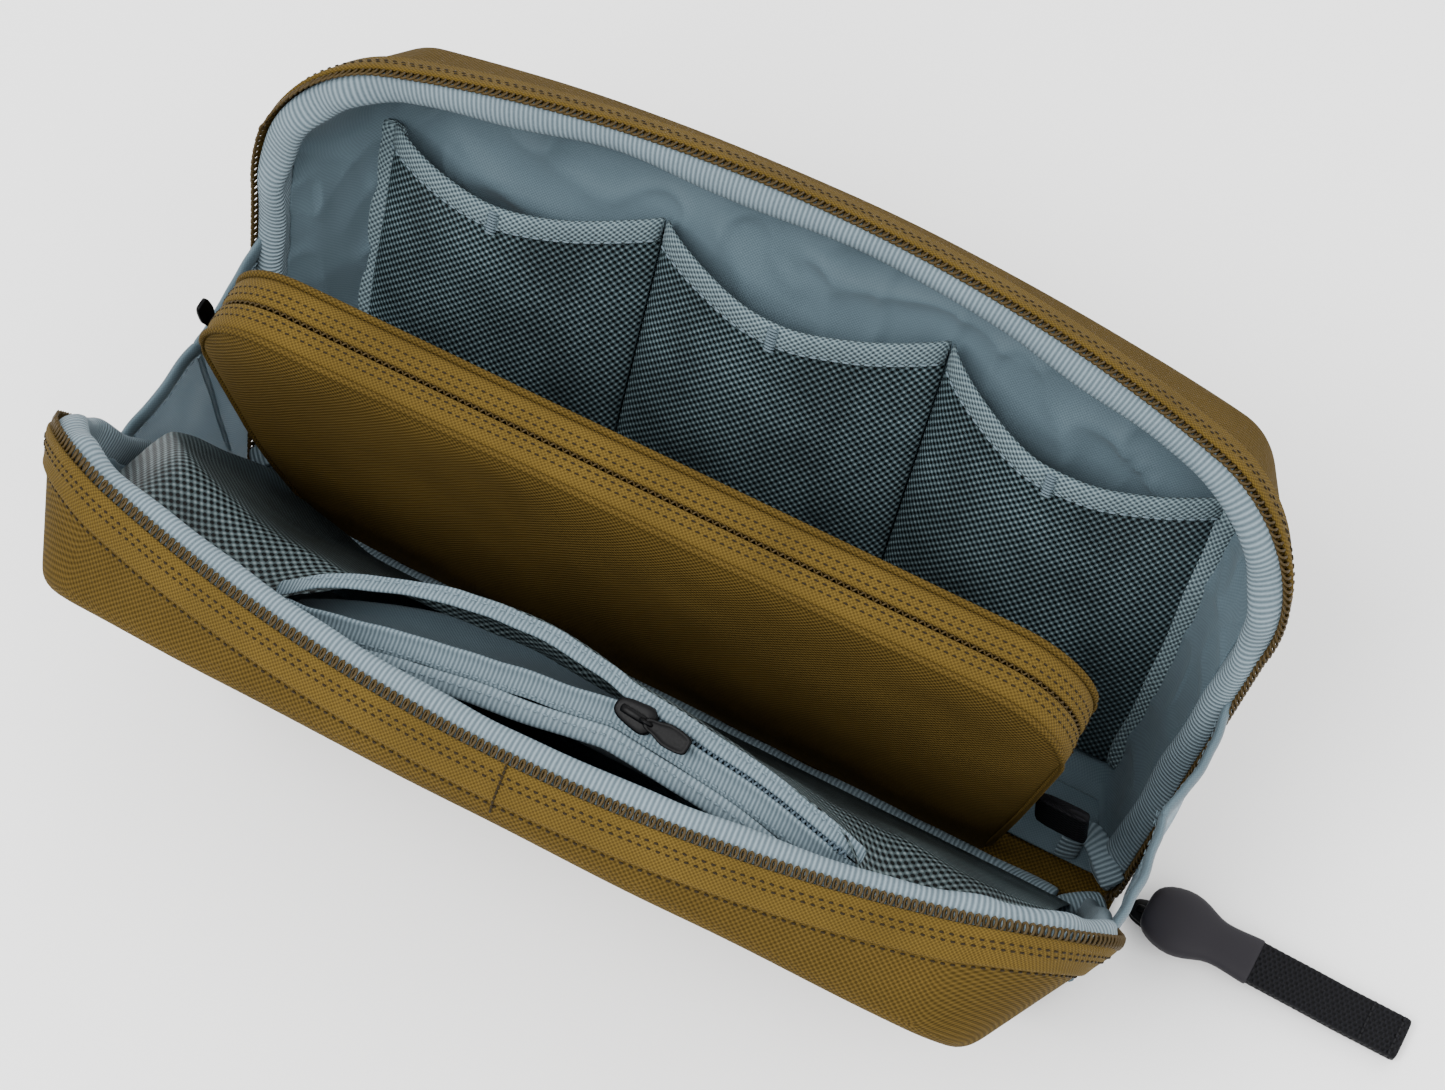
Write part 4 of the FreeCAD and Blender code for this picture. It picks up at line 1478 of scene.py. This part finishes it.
@dataclass
class Spine:
    """The strip between the two fold lines, its facing and the gussets at its ends."""

    front: Half
    rear: Half
    half_long: float = 108.0
    half_wide: float = 10.6
    gusset_top: float = 65.0

    def build(self) -> None:
        """Builds and dresses the pieces."""
        finish("spine", self._strip(), "spine_panel")
        finish("spine", self._facing(), "spine_facing")
        for half in (self.front, self.rear):
            self._fold(half)
            for word, end in (("left", -1), ("right", 1)):
                self._gusset(half, word, end)
                finish("spine", self._curl(half.side, word, end))

    def _curl(self, side: Side, word: str, end: int) -> Piece:
        """The loose end of a seam binding, which curls over in the corner beside the spine.

        Args:
            side: the half that the binding comes from.
            word: the end, for its name.
            end: -1 at the left end, 1 at the right end.

        Returns:
            The dressed piece.
        """
        path = []
        for k in range(25):
            t = k / 24
            turn = math.pi * 1.25 * t
            path.append(Vector((end * (97.0 + 11.0 * t - 2.5 * math.sin(turn)),
                                side.value * (5.5 + 4.5 * math.sin(turn)),
                                4.5 + 9.0 * math.sin(math.pi * t * 0.8))) * MM)
        up = Vector((end * 0.5, -side.value * 0.6, 0.6))
        piece = tube(f"{word}_{side.word}_curl", path, 3.0, 10, 0.32, up)
        dress(soften(piece), GROSGRAIN)
        return piece

    def _strip(self) -> Piece:
        """The canvas strip that the pouch stands on.

        Returns:
            The dressed piece.
        """
        rows = []
        for y, z in ((-1, 0.0), (-0.98, 1.1), (-0.5, 1.4), (0.5, 1.4), (0.98, 1.1), (1, 0.0)):
            row = []
            for i in range(31):
                high = max(0.05, z + 0.1 * wobble(i * 7.0, y * 10, 0, 14.0))
                row.append(Vector((mix(-1, 1, i / 30) * self.half_long, y * self.half_wide, high)) * MM)
            rows.append(row)
        piece = tidy(loft("spine_canvas", rows, tube=True))
        dress(soften(piece), CANVAS)
        return piece

    def _facing(self) -> Piece:
        """The canvas facing on the strip's inner side, which the divider is sewn through.

        Returns:
            The dressed piece.
        """
        rows = []
        for k in range(9):
            y = mix(-8.6, 8.6, k / 8)
            crown = 0.5 * (1 - (y / 8.6) ** 2)
            rows.append([Vector((x, y, 1.55 + crown + 0.25 * wobble(x, y, 0, 12.0, 4.0))) * MM
                         for x in [mix(-111.0, 111.0, i / 50) for i in range(51)]])
        piece = loft("spine_facing_cloth", rows)
        dress(thicken(piece, 0.6, -1.0, 1), CANVAS)
        return piece

    def _fold(self, half: Half) -> None:
        """The lining between the spine's facing and a half's own lining, over the fold line.

        Args:
            half: the half beyond the fold line.
        """
        way = half.side.value
        rows = []
        for k in range(9):
            y = mix(5.5, 21.0, k / 8)
            rise = mix(2.3, 5.4, smooth(7.0, 17.0, y))
            rows.append([Vector((x, way * y, rise + 0.35 * wobble(x, y, way * 4.0, 10.0, 4.0))) * MM
                         for x in [mix(-111.5, 111.5, i / 50) for i in range(51)]])
        piece = loft(f"{half.side.word}_fold_cloth", rows)
        dress(thicken(piece, 0.6, -1.0 if way < 0 else 1.0, 1), LINING)
        settle(piece)
        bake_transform(piece)
        LOG.info("%s bends from the spine to the %s", piece.name, half.body)

    def _gusset(self, half: Half, word: str, end: int) -> None:
        """Half of an end gusset, from the middle fold to the half's rim, with a hem on top.

        Args:
            half: the half that it is sewn to.
            word: the end, for its name.
            end: -1 at the left end, 1 at the right end.
        """
        way = half.side.value
        rows, columns = 22, 14
        grid = []
        for k in range(rows):
            w = k / (rows - 1)
            height = mix(0.0, self.gusset_top, w)
            rim = half.place(end * mix(112.6, 116.4, smooth(0, 1, w)), 2.6, height)
            # each side passes the middle fold a little, so that no gap shows between them
            fold = Vector((end * mix(113.4, 114.8, w), -way * 1.0, mix(1.6, 61.0, w))) * MM
            row = []
            for i in range(columns):
                u = i / (columns - 1)
                point = fold.lerp(rim, u)
                slack = math.sin(math.pi * u) * w
                point.z -= 0.002 * slack * w
                ripple = wobble(end * 9.0, point.y / MM, height * 0.5, 7.0, 3.0)
                point.x += end * MM * (1.2 * slack + 1.1 * mix(0.3, 1.0, w) * ripple)
                row.append(point)
            grid.append(row)
        name = f"{word}_gusset_{half.side.word}"
        cloth = loft(f"{name}_cloth", grid)
        # painted light: the gusset cloth is coloured paler than the lining, as light coming through it
        dress(thicken(cloth, 0.6, 0.0, 1), LIT_GUSSET)
        hem = tube(f"{name}_hem", [p + Vector((0, 0, -0.0012)) for p in grid[-1]], 2.6, 8, 0.42,
                   Vector((1, 0, 0)))
        dress(soften(hem), LINING)
        out = Vector((-end, 0, 0))
        path = [p + Vector((-end * 0.0012, 0, -0.0026)) for p in grid[-1]]
        seam = dashes(f"{name}_stitches", path, lambda p: out, 2.2, 1.3, 0.4)
        dress(seam, PALE_THREAD)
        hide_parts(f"{word}_gusset")
        settle(cloth)
        for piece in (cloth, settle(hem), seam):
            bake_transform(piece)
            LOG.info("%s bends from the spine to the %s", piece.name, half.body)


# ---- divider ----------------------------------------------------------------------------------

@dataclass
class Divider:
    """The padded, zipped divider that stands on the spine."""

    half_long: float = 98.5
    taper: float = 14.0
    low: float = 6.0
    top: float = 104.0
    corner: float = 18.0
    half_thick: float = 8.0
    foot_half: float = 2.6
    shoulder: float = 50.0

    def __post_init__(self) -> None:
        """Reads the divider's foot and lean from its joint."""
        joint = next(j for j in frame["joints"] if j["name"] == "divider_lean")
        self.foot = Vector(joint["pos_m"])
        angle = max(abs(v) for v in joint["range_deg"])
        self.turn = Matrix.Rotation(math.radians(angle), 3, "X")

    def place(self, x: float, y: float, z: float) -> Vector:
        """A point of the upright divider, where it stands, in metres."""
        return self.foot + self.turn @ Vector((x, y, z - self.low)) * MM

    def thick(self, z: float) -> float:
        """Half the divider's thickness at a height."""
        return mix(self.foot_half, self.half_thick, smooth(self.low - 16, self.shoulder + 6, z))

    def outline(self, inset: float = 0.0) -> list[tuple[float, float]]:
        """The closed outline: the foot, the right end, the top and the left end.

        Args:
            inset: how far inside the edge, in millimetres.

        Returns:
            The points, as (x, height).
        """
        half, low, top = self.half_long - inset, self.low + inset, self.top - inset
        reach = self.corner - inset * 0.8
        foot = half - self.taper
        points = line((-foot, low), (foot, low), 40)
        points += line((foot, low), (half, top - reach), 26)
        points += arc((half, top - reach), (half - reach, top), reach, 12)
        points += line((half - reach, top), (-half + reach, top), 50)
        points += arc((-half + reach, top), (-half, top - reach), reach, 12)
        points += line((-half, top - reach), (-foot, low), 26)
        return points

    def build(self) -> None:
        """Builds and dresses the divider."""
        for word, way in (("front", -1), ("rear", 1)):
            finish("divider", self._panel(word, way), f"divider_{word}_panel")
            finish("divider", self._band(word, way), f"divider_{word}_band")
            finish("divider", self._piping(word, way))
            for piece in self._stitches(word, way):
                finish("divider", piece)
        finish("divider", self._coil(), "divider_coil")
        finish("divider", self._hem(), "divider_foot_hem")
        finish("divider", self._tab(), "divider_pull_tab")

    def _panel(self, word: str, way: int) -> Piece:
        """A padded face: it rises from its seam, is crowned and has a few soft dents.

        Args:
            word: the side, for its name.
            way: -1 for the front side, 1 for the rear side.

        Returns:
            The dressed piece.
        """
        rows = []
        for inset, rise in ((-0.1, -1.4), (0.1, -0.6), (1.0, -0.2), (2.2, 0.25), (4.5, 0.8), (8.0, 1.2)):
            rows.append([self._swell(x, z, way, inset, rise) for x, z in self.outline(inset)])
        border = self.outline(8.0)
        for q in (0.12, 0.26, 0.42, 0.6, 0.8, 1.0):
            ring = [(mix(x, middle_x(x), q), mix(z, 56.0, q)) for x, z in border]
            rows.append([self._swell(x, z, way, 8.0 + 30.0 * q, mix(1.2, 1.9, q)) for x, z in ring])
        back = [(x, way * 0.9, z) for x, z in self.outline(2.0)]
        rows.insert(0, back)
        piece = tidy(loft(f"divider_{word}_pad", [[self.place(*p) for p in row] for row in rows], ring=True))
        lay_flat(piece, self.turn @ Vector((0, 1, 0)))
        dress(soften(piece), CANVAS)
        return piece

    def _swell(self, x: float, z: float, way: int, inset: float, rise: float) -> Point:
        """A place on a padded face, a rise off the divider's wedge with soft dents in it.

        Args:
            x: the place along the pouch, in millimetres.
            z: the height, in millimetres.
            way: -1 for the front side, 1 for the rear side.
            inset: how far inside the outline it is, in millimetres.
            rise: how far off the wedge it is, in millimetres.

        Returns:
            The point of the upright divider.
        """
        dent = 0.8 * wobble(x, z, way * 7.0, 38.0, 2.0) + 0.3 * wobble(x, z, way * 3.0, 13.0, 6.0)
        give = smooth(1.5, 14.0, inset) * dent
        return (x, way * (self.thick(z) + rise * smooth(self.low, 30.0, z) + give), z)

    def arch(self, inset: float, low: float = 16.0) -> list[tuple[float, float]]:
        """The outline over the top, between its two ends at a height."""
        points = self.outline(inset)[40:]
        return [(x, z) for x, z in points if z >= low]

    def _band(self, word: str, way: int) -> Piece:
        """Half of the close-woven band over the top, between the panel's seam and the coil.

        Args:
            word: the side, for its name.
            way: -1 for the front side, 1 for the rear side.

        Returns:
            The dressed piece.
        """
        rows = []
        count = min(len(self.arch(i)) for i in (-0.9, 0.0, 2.6))
        for y, rise in ((6.9, -0.9), (6.8, -0.1), (5.6, 0.5), (3.6, 0.6), (1.6, 0.6), (0.7, 0.5),
                        (0.42, 0.05), (0.5, -1.6), (6.0, -1.6)):
            row = []
            for x, z in self.arch(0.0)[:count]:
                out = self._outward(x, z)
                narrow = self.thick(z) / self.half_thick
                row.append(self.place(x + out[0] * rise, way * y * narrow, z + out[1] * rise))
            rows.append(row)
        piece = tidy(loft(f"divider_{word}_zip_band", rows, tube=True))
        dress(soften(piece), TAPE)
        return piece

    def _outward(self, x: float, z: float) -> tuple[float, float]:
        """The direction out of the outline at a point of it.

        Args:
            x: the place along the pouch, in millimetres.
            z: the height, in millimetres.

        Returns:
            A direction of length 1, as (x, height).
        """
        reach, slope = self.corner, self.taper / (self.top - self.corner - self.low)
        side = math.copysign(1.0, x)
        if z <= self.top - reach:
            size = math.hypot(1.0, slope)
            return side / size, -slope / size
        cx, cz = side * (self.half_long - reach), self.top - reach
        if abs(x) <= abs(cx):
            return 0.0, 1.0
        size = math.hypot(x - cx, z - cz)
        return (x - cx) / size, (z - cz) / size

    def _line_at(self, y: float, rise: float, low: float = 16.0) -> list[Vector]:
        """A line over the top at y across it.

        Args:
            y: the distance from its middle, in millimetres.
            rise: how far it stands off, in millimetres.
            low: the height of its ends, in millimetres.

        Returns:
            The points in metres.
        """
        found = []
        for x, z in self.arch(0.0, low):
            out = self._outward(x, z)
            narrow = self.thick(z) / self.half_thick
            found.append(self.place(x + out[0] * rise, y * narrow, z + out[1] * rise))
        return found

    def _out(self, point: Vector) -> Vector:
        """The direction out of the band at a place.

        Args:
            point: the place, in metres.

        Returns:
            A direction of length 1.
        """
        shut = self.turn.inverted() @ (point - self.foot)
        out = self._outward(shut.x / MM, shut.z / MM + self.low)
        return self.turn @ Vector((out[0], 0, out[1]))

    def _piping(self, word: str, way: int) -> Piece:
        """The turned seam that stands up between the band and the panel.

        Args:
            word: the side, for its name.
            way: -1 for the front side, 1 for the rear side.

        Returns:
            The dressed piece.
        """
        piece = tube(f"divider_{word}_seam", self._line_at(way * 7.3, 0.15, 10.0), 0.85, 8)
        dress(soften(piece), CANVAS)
        return piece

    def _stitches(self, word: str, way: int) -> list[Piece]:
        """Two rows of stitches beside the coil.

        Args:
            word: the side, for its name.
            way: -1 for the front side, 1 for the rear side.

        Returns:
            The dressed pieces.
        """
        found = []
        for number, y in enumerate((1.9, 3.6)):
            piece = dashes(f"divider_{word}_stitches_{number}", self._line_at(way * y, 0.6), self._out, 1.8,
                           0.95, 0.42)
            found.append(dress(piece, THREAD))
        return found

    def _coil(self) -> Piece:
        """The closed coil between the bands, set a little below them.

        Returns:
            The dressed piece.
        """
        wire = []
        steps = walk(self._line_at(0.0, -0.1), 0.2 * MM)
        for i, (place, tangent) in enumerate(steps):
            turn = 2 * math.pi * i / 8
            up = self._out(place)
            across = tangent.cross(up).normalized()
            wire.append(place + across * (0.38 * MM * math.cos(turn)) + up * (0.3 * MM * math.sin(turn)))
        piece = tube("divider_teeth", wire, 0.22, 5)
        dress(piece, COIL)
        return piece

    def _hem(self) -> Piece:
        """The turned hem that fixes the divider to the spine.

        Returns:
            The dressed piece.
        """
        rows = []
        for y, z in ((-1.3, 2.3), (-1.2, 5.0), (-2.2, 6.4), (2.2, 6.4), (1.2, 5.0), (1.3, 2.3)):
            rows.append([self.place(x, y + 0.3 * wobble(x, z, 0, 11.0), z)
                         for x in [mix(-82.0, 82.0, i / 40) for i in range(41)]])
        piece = tidy(loft("divider_foot_seam", rows, tube=True))
        dress(soften(piece), CANVAS)
        return piece

    def _tab(self) -> Piece:
        """The folded webbing tab at the right end.

        Returns:
            The dressed piece.
        """
        rows = []
        for y, reach in ((-1.1, 0), (-1.3, 6.5), (-1.3, 11.6), (-0.9, 12.4), (0.9, 12.4), (1.3, 11.6),
                         (1.3, 6.5), (1.1, 0)):
            rows.append([self.place(93.2 + reach - 0.05 * (z - 33.0), y, z)
                         for z in (32.6, 32.7, 33.0, 36.0, 42.0, 45.0, 45.3, 45.4)])
        piece = tidy(loft("divider_end_tab", rows, tube=True))
        dress(soften(piece), WEBBING)
        return piece


# ---- sliders and pullers ----------------------------------------------------------------------

@dataclass
class Slider:
    """A die-cast slider: two plates joined by a post, and a bridge that the puller hangs from."""

    name: str
    body: str
    node: str
    base: Matrix
    wide: float
    long: float = 8.6

    def build(self) -> None:
        """Builds the slider on its own place and axes."""
        pieces = [self._plate("lower", 0.0, 0.75), self._plate("upper", 1.5, 0.8),
                  self._post(), self._bridge()]
        for number, piece in enumerate(pieces):
            dress(piece, PAINT)
            finish(self.body, piece, *([self.node] if number == 0 else []))

    def _plate(self, word: str, low: float, thick: float) -> Piece:
        """A plate that widens to a rounded nose, with rolled-down edges.

        Args:
            word: lower or upper, for its name.
            low: the height of its underside, in millimetres.
            thick: its thickness in millimetres.

        Returns:
            The piece.
        """
        half, wide = self.long / 2, self.wide / 2
        shape = []
        for k in range(32):
            turn = 2 * math.pi * k / 32
            x = half * math.copysign(abs(math.cos(turn)) ** 0.55, math.cos(turn))
            y = wide * math.copysign(abs(math.sin(turn)) ** 0.7, math.sin(turn))
            shape.append((x, y * mix(0.6, 1.0, (x / half + 1) / 2)))
        rows = []
        top = low + thick
        for z, share in ((low, 0.02), (low, 0.9), (low + 0.12, 1.0), (top - 0.2, 1.0), (top, 0.88),
                         (top + 0.08, 0.6), (top + 0.1, 0.02)):
            rows.append([self.base @ (Vector((x * share, y * share, z)) * MM) for x, y in shape])
        return tidy(loft(f"{self.name}_{word}", rows, ring=True))

    def _post(self) -> Piece:
        """The wedge between the plates."""
        path = [self.base @ (Vector((self.long * 0.28, 0, z)) * MM) for z in (0.4, 1.0, 1.9)]
        return tube(f"{self.name}_post", path, 0.9, 12, up=self.base.to_3x3() @ Vector((1, 0, 0)))

    def _bridge(self) -> Piece:
        """The arched strap over the upper plate.

        Returns:
            The piece.
        """
        path = []
        for k in range(15):
            turn = math.pi * k / 14
            spot = Vector((-self.long * 0.31 * math.cos(turn), 0, 2.1 + 1.0 * math.sin(turn) ** 0.6))
            path.append(self.base @ (spot * MM))
        side = self.base.to_3x3() @ Vector((0, 1, 0))
        return tube(f"{self.name}_bridge", path, 0.42, 10, 2.0, side)


@dataclass
class PullTab:
    """A moulded pull tab: a ring at its root, a waist and a rounded grip with a recess."""

    name: str
    body: str
    node: str
    base: Matrix
    long: float
    wide: float
    root: float = 2.7
    rise: float = 3.1
    thick: float = 1.0

    def build(self) -> None:
        """Builds the tab on its slider's axes."""
        rows = []
        for z, share in ((0.0, 0.9), (0.18, 1.0), (0.82, 1.0), (1.0, 0.9), (0.78, 0.72), (0.78, 0.4)):
            high = self.rise + z * self.thick
            rows.append([self.base @ (Vector((self._pull(x, share), y * share, high)) * MM)
                         for x, y in self._outline()])
        finish(self.body, dress(capped(self.name, rows), ACETAL), self.node)
        loop = []
        for k in range(17):
            turn = 2 * math.pi * k / 16
            spot = (self.root + 0.4 + 1.2 * math.cos(turn), 0, self.rise + 0.5 + math.sin(turn))
            loop.append(self.base @ (Vector(spot) * MM))
        side = self.base.to_3x3() @ Vector((0, 1, 0))
        finish(self.body, dress(tube(f"{self.name}_ring", loop, 0.4, 8, up=side), PAINT))

    def _pull(self, x: float, share: float) -> float:
        """Draws a point along the tab in towards its middle."""
        middle = self.root + self.long * 0.55
        return middle + (x - middle) * mix(1.0, share, 0.6)

    def _outline(self) -> list[tuple[float, float]]:
        """The tab's outline from above.

        Returns:
            The points, as (along, across) in millimetres.
        """
        found = []
        for k in range(36):
            turn = 2 * math.pi * k / 36
            along = (1 - math.cos(turn)) / 2
            wide = self.wide / 2 * mix(0.62, 1.0, smooth(0.15, 0.55, along))
            y = wide * math.copysign(abs(math.sin(turn)) ** 0.35, math.sin(turn))
            found.append((self.root + self.long * along, y))
        return found[::-1]


@dataclass
class MainPuller:
    """The main zipper's puller: ribbed webbing in a soft rubber boot."""

    root: Point = (117.5, 3.0, 6.6)
    slope: float = 4.5
    boot: float = 26.5
    long: float = 62.0
    wide: float = 10.0
    thick: float = 2.6

    def build(self) -> None:
        """Builds the boot, the webbing and its stitches."""
        tilt = Matrix.Rotation(math.radians(self.slope), 3, "Y")
        base = Matrix.Translation(Vector(self.root) * MM) @ tilt.to_4x4()
        boot = self._boot(base)
        web = self._web(base)
        dress(soften(boot), RUBBER)
        dress(soften(web), WEBBING)
        finish("main_puller", boot, "main_puller_sleeve")
        finish("main_puller", web, "main_puller_webbing")
        for k, x in enumerate((self.long - 9.0, self.long - 2.0)):
            path = [base @ (Vector((x, y, self.thick / 2 + 0.15)) * MM) for y in (-4.2, 0.0, 4.2)]
            out = tilt @ Vector((0, 0, 1))
            piece = dashes(f"webbing_stitches_{k}", path, lambda p: out, 1.5, 1.1, 0.5)
            finish("main_puller", dress(piece, WEB_THREAD))

    def _section(self, base: Matrix, x: float, wide: float, thick: float, power: float) -> Row:
        """A rounded cross-section.

        Args:
            base: the axes of the puller.
            x: the distance along it, in millimetres.
            wide: half the width.
            thick: half the thickness.
            power: 1 for an ellipse, less for squarer sides.

        Returns:
            A ring of points in metres.
        """
        row = []
        for k in range(28):
            turn = 2 * math.pi * k / 28
            y = wide * math.copysign(abs(math.cos(turn)) ** power, math.cos(turn))
            z = thick * math.copysign(abs(math.sin(turn)) ** power, math.sin(turn))
            row.append(base @ (Vector((x, y, z)) * MM))
        return row

    def _boot(self, base: Matrix) -> Piece:
        """The boot: a bulb at the root that narrows to a flat collar round the webbing.

        Args:
            base: the axes of the puller.

        Returns:
            The piece.
        """
        sizes = ((0.3, 1.2, 0.6), (0.4, 3.6, 1.4), (1.6, 5.8, 2.3), (5.0, 7.4, 3.0), (9.0, 7.9, 3.2),
                 (12.5, 7.0, 2.9), (16.0, 5.2, 2.3), (19.0, 4.9, 2.05), (24.0, 5.4, 2.0), (26.2, 5.6, 2.0),
                 (26.5, 5.4, 1.8), (26.3, 4.9, 1.5))
        rows = [self._section(base, x, wide, thick, 0.75) for x, wide, thick in sizes]
        return capped("puller_boot", rows)

    def _web(self, base: Matrix) -> Piece:
        """The folded webbing, with its ribs as real steps and a slight waver.

        Args:
            base: the axes of the puller.

        Returns:
            The piece.
        """
        rows = []
        start, ribs = self.boot - 1.0, 1.5
        count = round((self.long - start) / ribs * 2)
        for k in range(count + 1):
            x = mix(start, self.long, k / count)
            rib = 0.09 if k % 2 else -0.09
            end = smooth(0.0, 1.4, self.long + 0.4 - x)
            waver = 0.25 * wobble(x, 0, 0, 14.0, 2.0)
            thick = (self.thick / 2 + rib) * mix(0.55, 1.0, end)
            row = self._section(base, x, self.wide / 2 + rib * 1.2, thick, 0.28)
            rows.append([p + Vector((0, waver * MM, 0)) for p in row])
        return capped("puller_webbing", rows)


def slider_spots(front: Half, divider: Divider) -> dict[str, Matrix]:
    """Where each slider stands, from the joints that carry it.

    Args:
        front: the front half, whose pocket has a slider.
        divider: the divider, whose left end has one.

    Returns:
        A matrix for each slider node.
    """
    across, reach, high = 15.0, 166.5, 107.1  # the pocket zipper's curve and the slider's place on it
    turn = math.asin(across / reach)
    y = -reach + math.sqrt(reach ** 2 - across ** 2)
    lean = front.turn.to_4x4()
    hinge = Matrix.Translation(front.hinge)
    shut = Matrix.Translation(Vector((20.0, y, high)) * MM - front.hinge) @ Matrix.Rotation(-turn, 4, "Z")
    spots = {"zip_pocket_slider": hinge @ lean @ shut}
    rise = divider.top - divider.corner - divider.low
    slope = math.atan2(divider.taper, rise)
    height = 79.0  # how high the divider's slider stands
    x = -divider.half_long + divider.taper * (1 - (height - divider.low) / rise)
    upward = Matrix.Rotation(-math.pi / 2 - slope, 4, "Y")
    local = Matrix.Translation(Vector((x - 0.2, 0, height - divider.low)) * MM) @ upward
    spots["divider_slider"] = Matrix.Translation(divider.foot) @ divider.turn.to_4x4() @ local
    spots["main_slider"] = Matrix.Translation(Vector((118.9, 3.0, 0.8)) * MM)
    return spots


# ---- studio -----------------------------------------------------------------------------------

@dataclass
class Studio:
    """A pale floor, broad soft lights and the camera."""

    azimuth: float = 29.0
    elevation: float = 65.37
    roll: float = -0.42
    distance: float = 0.7233
    lens: float = 80.0

    def build(self) -> None:
        """Builds the floor, the lights and the camera."""
        self._floor()
        self._light("key", (-0.5, -0.75, 1.35), 1.0, 35.0)
        self._light("fill", (0.95, -0.35, 0.95), 1.2, 12.0)
        self._light("back", (0.1, 1.1, 0.9), 1.3, 10.0)
        world = bpy.data.worlds.new("studio")
        world.use_nodes = True
        world.node_tree.nodes["Background"].inputs["Color"].default_value = linear("ffffff")
        world.node_tree.nodes["Background"].inputs["Strength"].default_value = 1.4
        bpy.context.scene.world = world
        self._camera()

    def _floor(self) -> None:
        """A large pale sheet under the pouch that curves up behind it."""
        rows = []
        for k in range(13):
            y = mix(-2.4, 2.4, k / 12)
            rise = 0.0 if y < 1.4 else (y - 1.4) ** 2 * 0.9
            rows.append([Vector((mix(-3.0, 3.0, i / 12), y, rise - 0.0004)) for i in range(13)])
        floor = loft("studio_floor", rows)
        BUILT[FLOOR.name] = FLOOR.build()
        floor.data.materials.append(BUILT[FLOOR.name])

    @staticmethod
    def _light(name: str, spot: Point, size: float, power: float) -> None:
        """A square soft light that looks at the pouch.

        Args:
            name: its name.
            spot: where it stands, in metres.
            size: the length of its side, in metres.
            power: its power in watts.
        """
        lamp = bpy.data.lights.new(name, "AREA")
        lamp.size = size
        lamp.energy = power
        holder = bpy.data.objects.new(name, lamp)
        holder.location = spot
        holder.rotation_euler = (Vector((0, 0, 0.05)) - Vector(spot)).to_track_quat("-Z", "Y").to_euler()
        bpy.context.collection.objects.link(holder)

    def _camera(self) -> None:
        """The camera, aimed so that its shift stays small."""
        az, el = math.radians(self.azimuth), math.radians(self.elevation)
        back = Vector((math.sin(az) * math.cos(el), -math.cos(az) * math.cos(el), math.sin(el)))
        right = Vector((math.cos(az), math.sin(az), 0.0))
        up = back.cross(right)
        turn = Matrix.Rotation(math.radians(self.roll), 3, back)
        right, up = turn @ right, turn @ up
        camera = bpy.data.cameras.new("camera")
        camera.lens = self.lens
        camera.sensor_width = 36.0
        camera.shift_x, camera.shift_y = 0.0404, 0.0981
        holder = bpy.data.objects.new("camera", camera)
        spot = back * self.distance + Vector((0, 0, 0.0035))
        basis = Matrix((right, up, back)).transposed().to_4x4()
        holder.matrix_world = Matrix.Translation(spot) @ basis
        bpy.context.collection.objects.link(holder)
        bpy.context.scene.camera = holder


def paint_frame() -> None:
    """Gives the CAD nodes that still show their finishes."""
    finishes = (CANVAS, TAPE, LINING, GROSGRAIN, COIL, FOAM, PAINT, ACETAL, RUBBER, WEBBING)
    by_slot = {style.name: style for style in finishes}
    by_slot["air_mesh"] = MESH
    slots = {s["node"]: s["material_slot"] for s in frame["record"]["subparts"]}
    for name, node in frame["nodes"].items():
        style = by_slot[slots[name]]
        if style.name not in BUILT:
            BUILT[style.name] = style.build()
        node.data.materials.clear()
        node.data.materials.append(BUILT[style.name])


def main() -> None:
    """Builds the pouch and its studio in order."""
    logging.basicConfig(level=logging.INFO, format="%(name)s: %(message)s")
    Studio().build()
    front, rear = Half(Side.FRONT, 18.0), Half(Side.REAR, 14.0)
    for half in (front, rear):
        Shell(half).build()
    RearPockets(rear).build()
    FrontPockets(front).build()
    Spine(front, rear).build()
    divider = Divider()
    divider.build()
    spots = slider_spots(front, divider)
    place = spots["zip_pocket_slider"]
    Slider("pocket_slider", "pocket_slider", "zip_pocket_slider", place, 6.6).build()
    PullTab("pocket_puller_tab", "pocket_puller", "zip_pocket_puller", place, 10.0, 4.6).build()
    place = spots["divider_slider"]
    Slider("divider_zip_slider", "divider_slider_body", "divider_slider", place, 6.6).build()
    PullTab("divider_puller_tab", "divider_puller_body", "divider_puller", place, 9.0, 4.2).build()
    Slider("main_zip_slider", "spine", "main_slider", spots["main_slider"], 7.6).build()
    MainPuller().build()
    paint_frame()


if __name__ == "__main__":
    main()
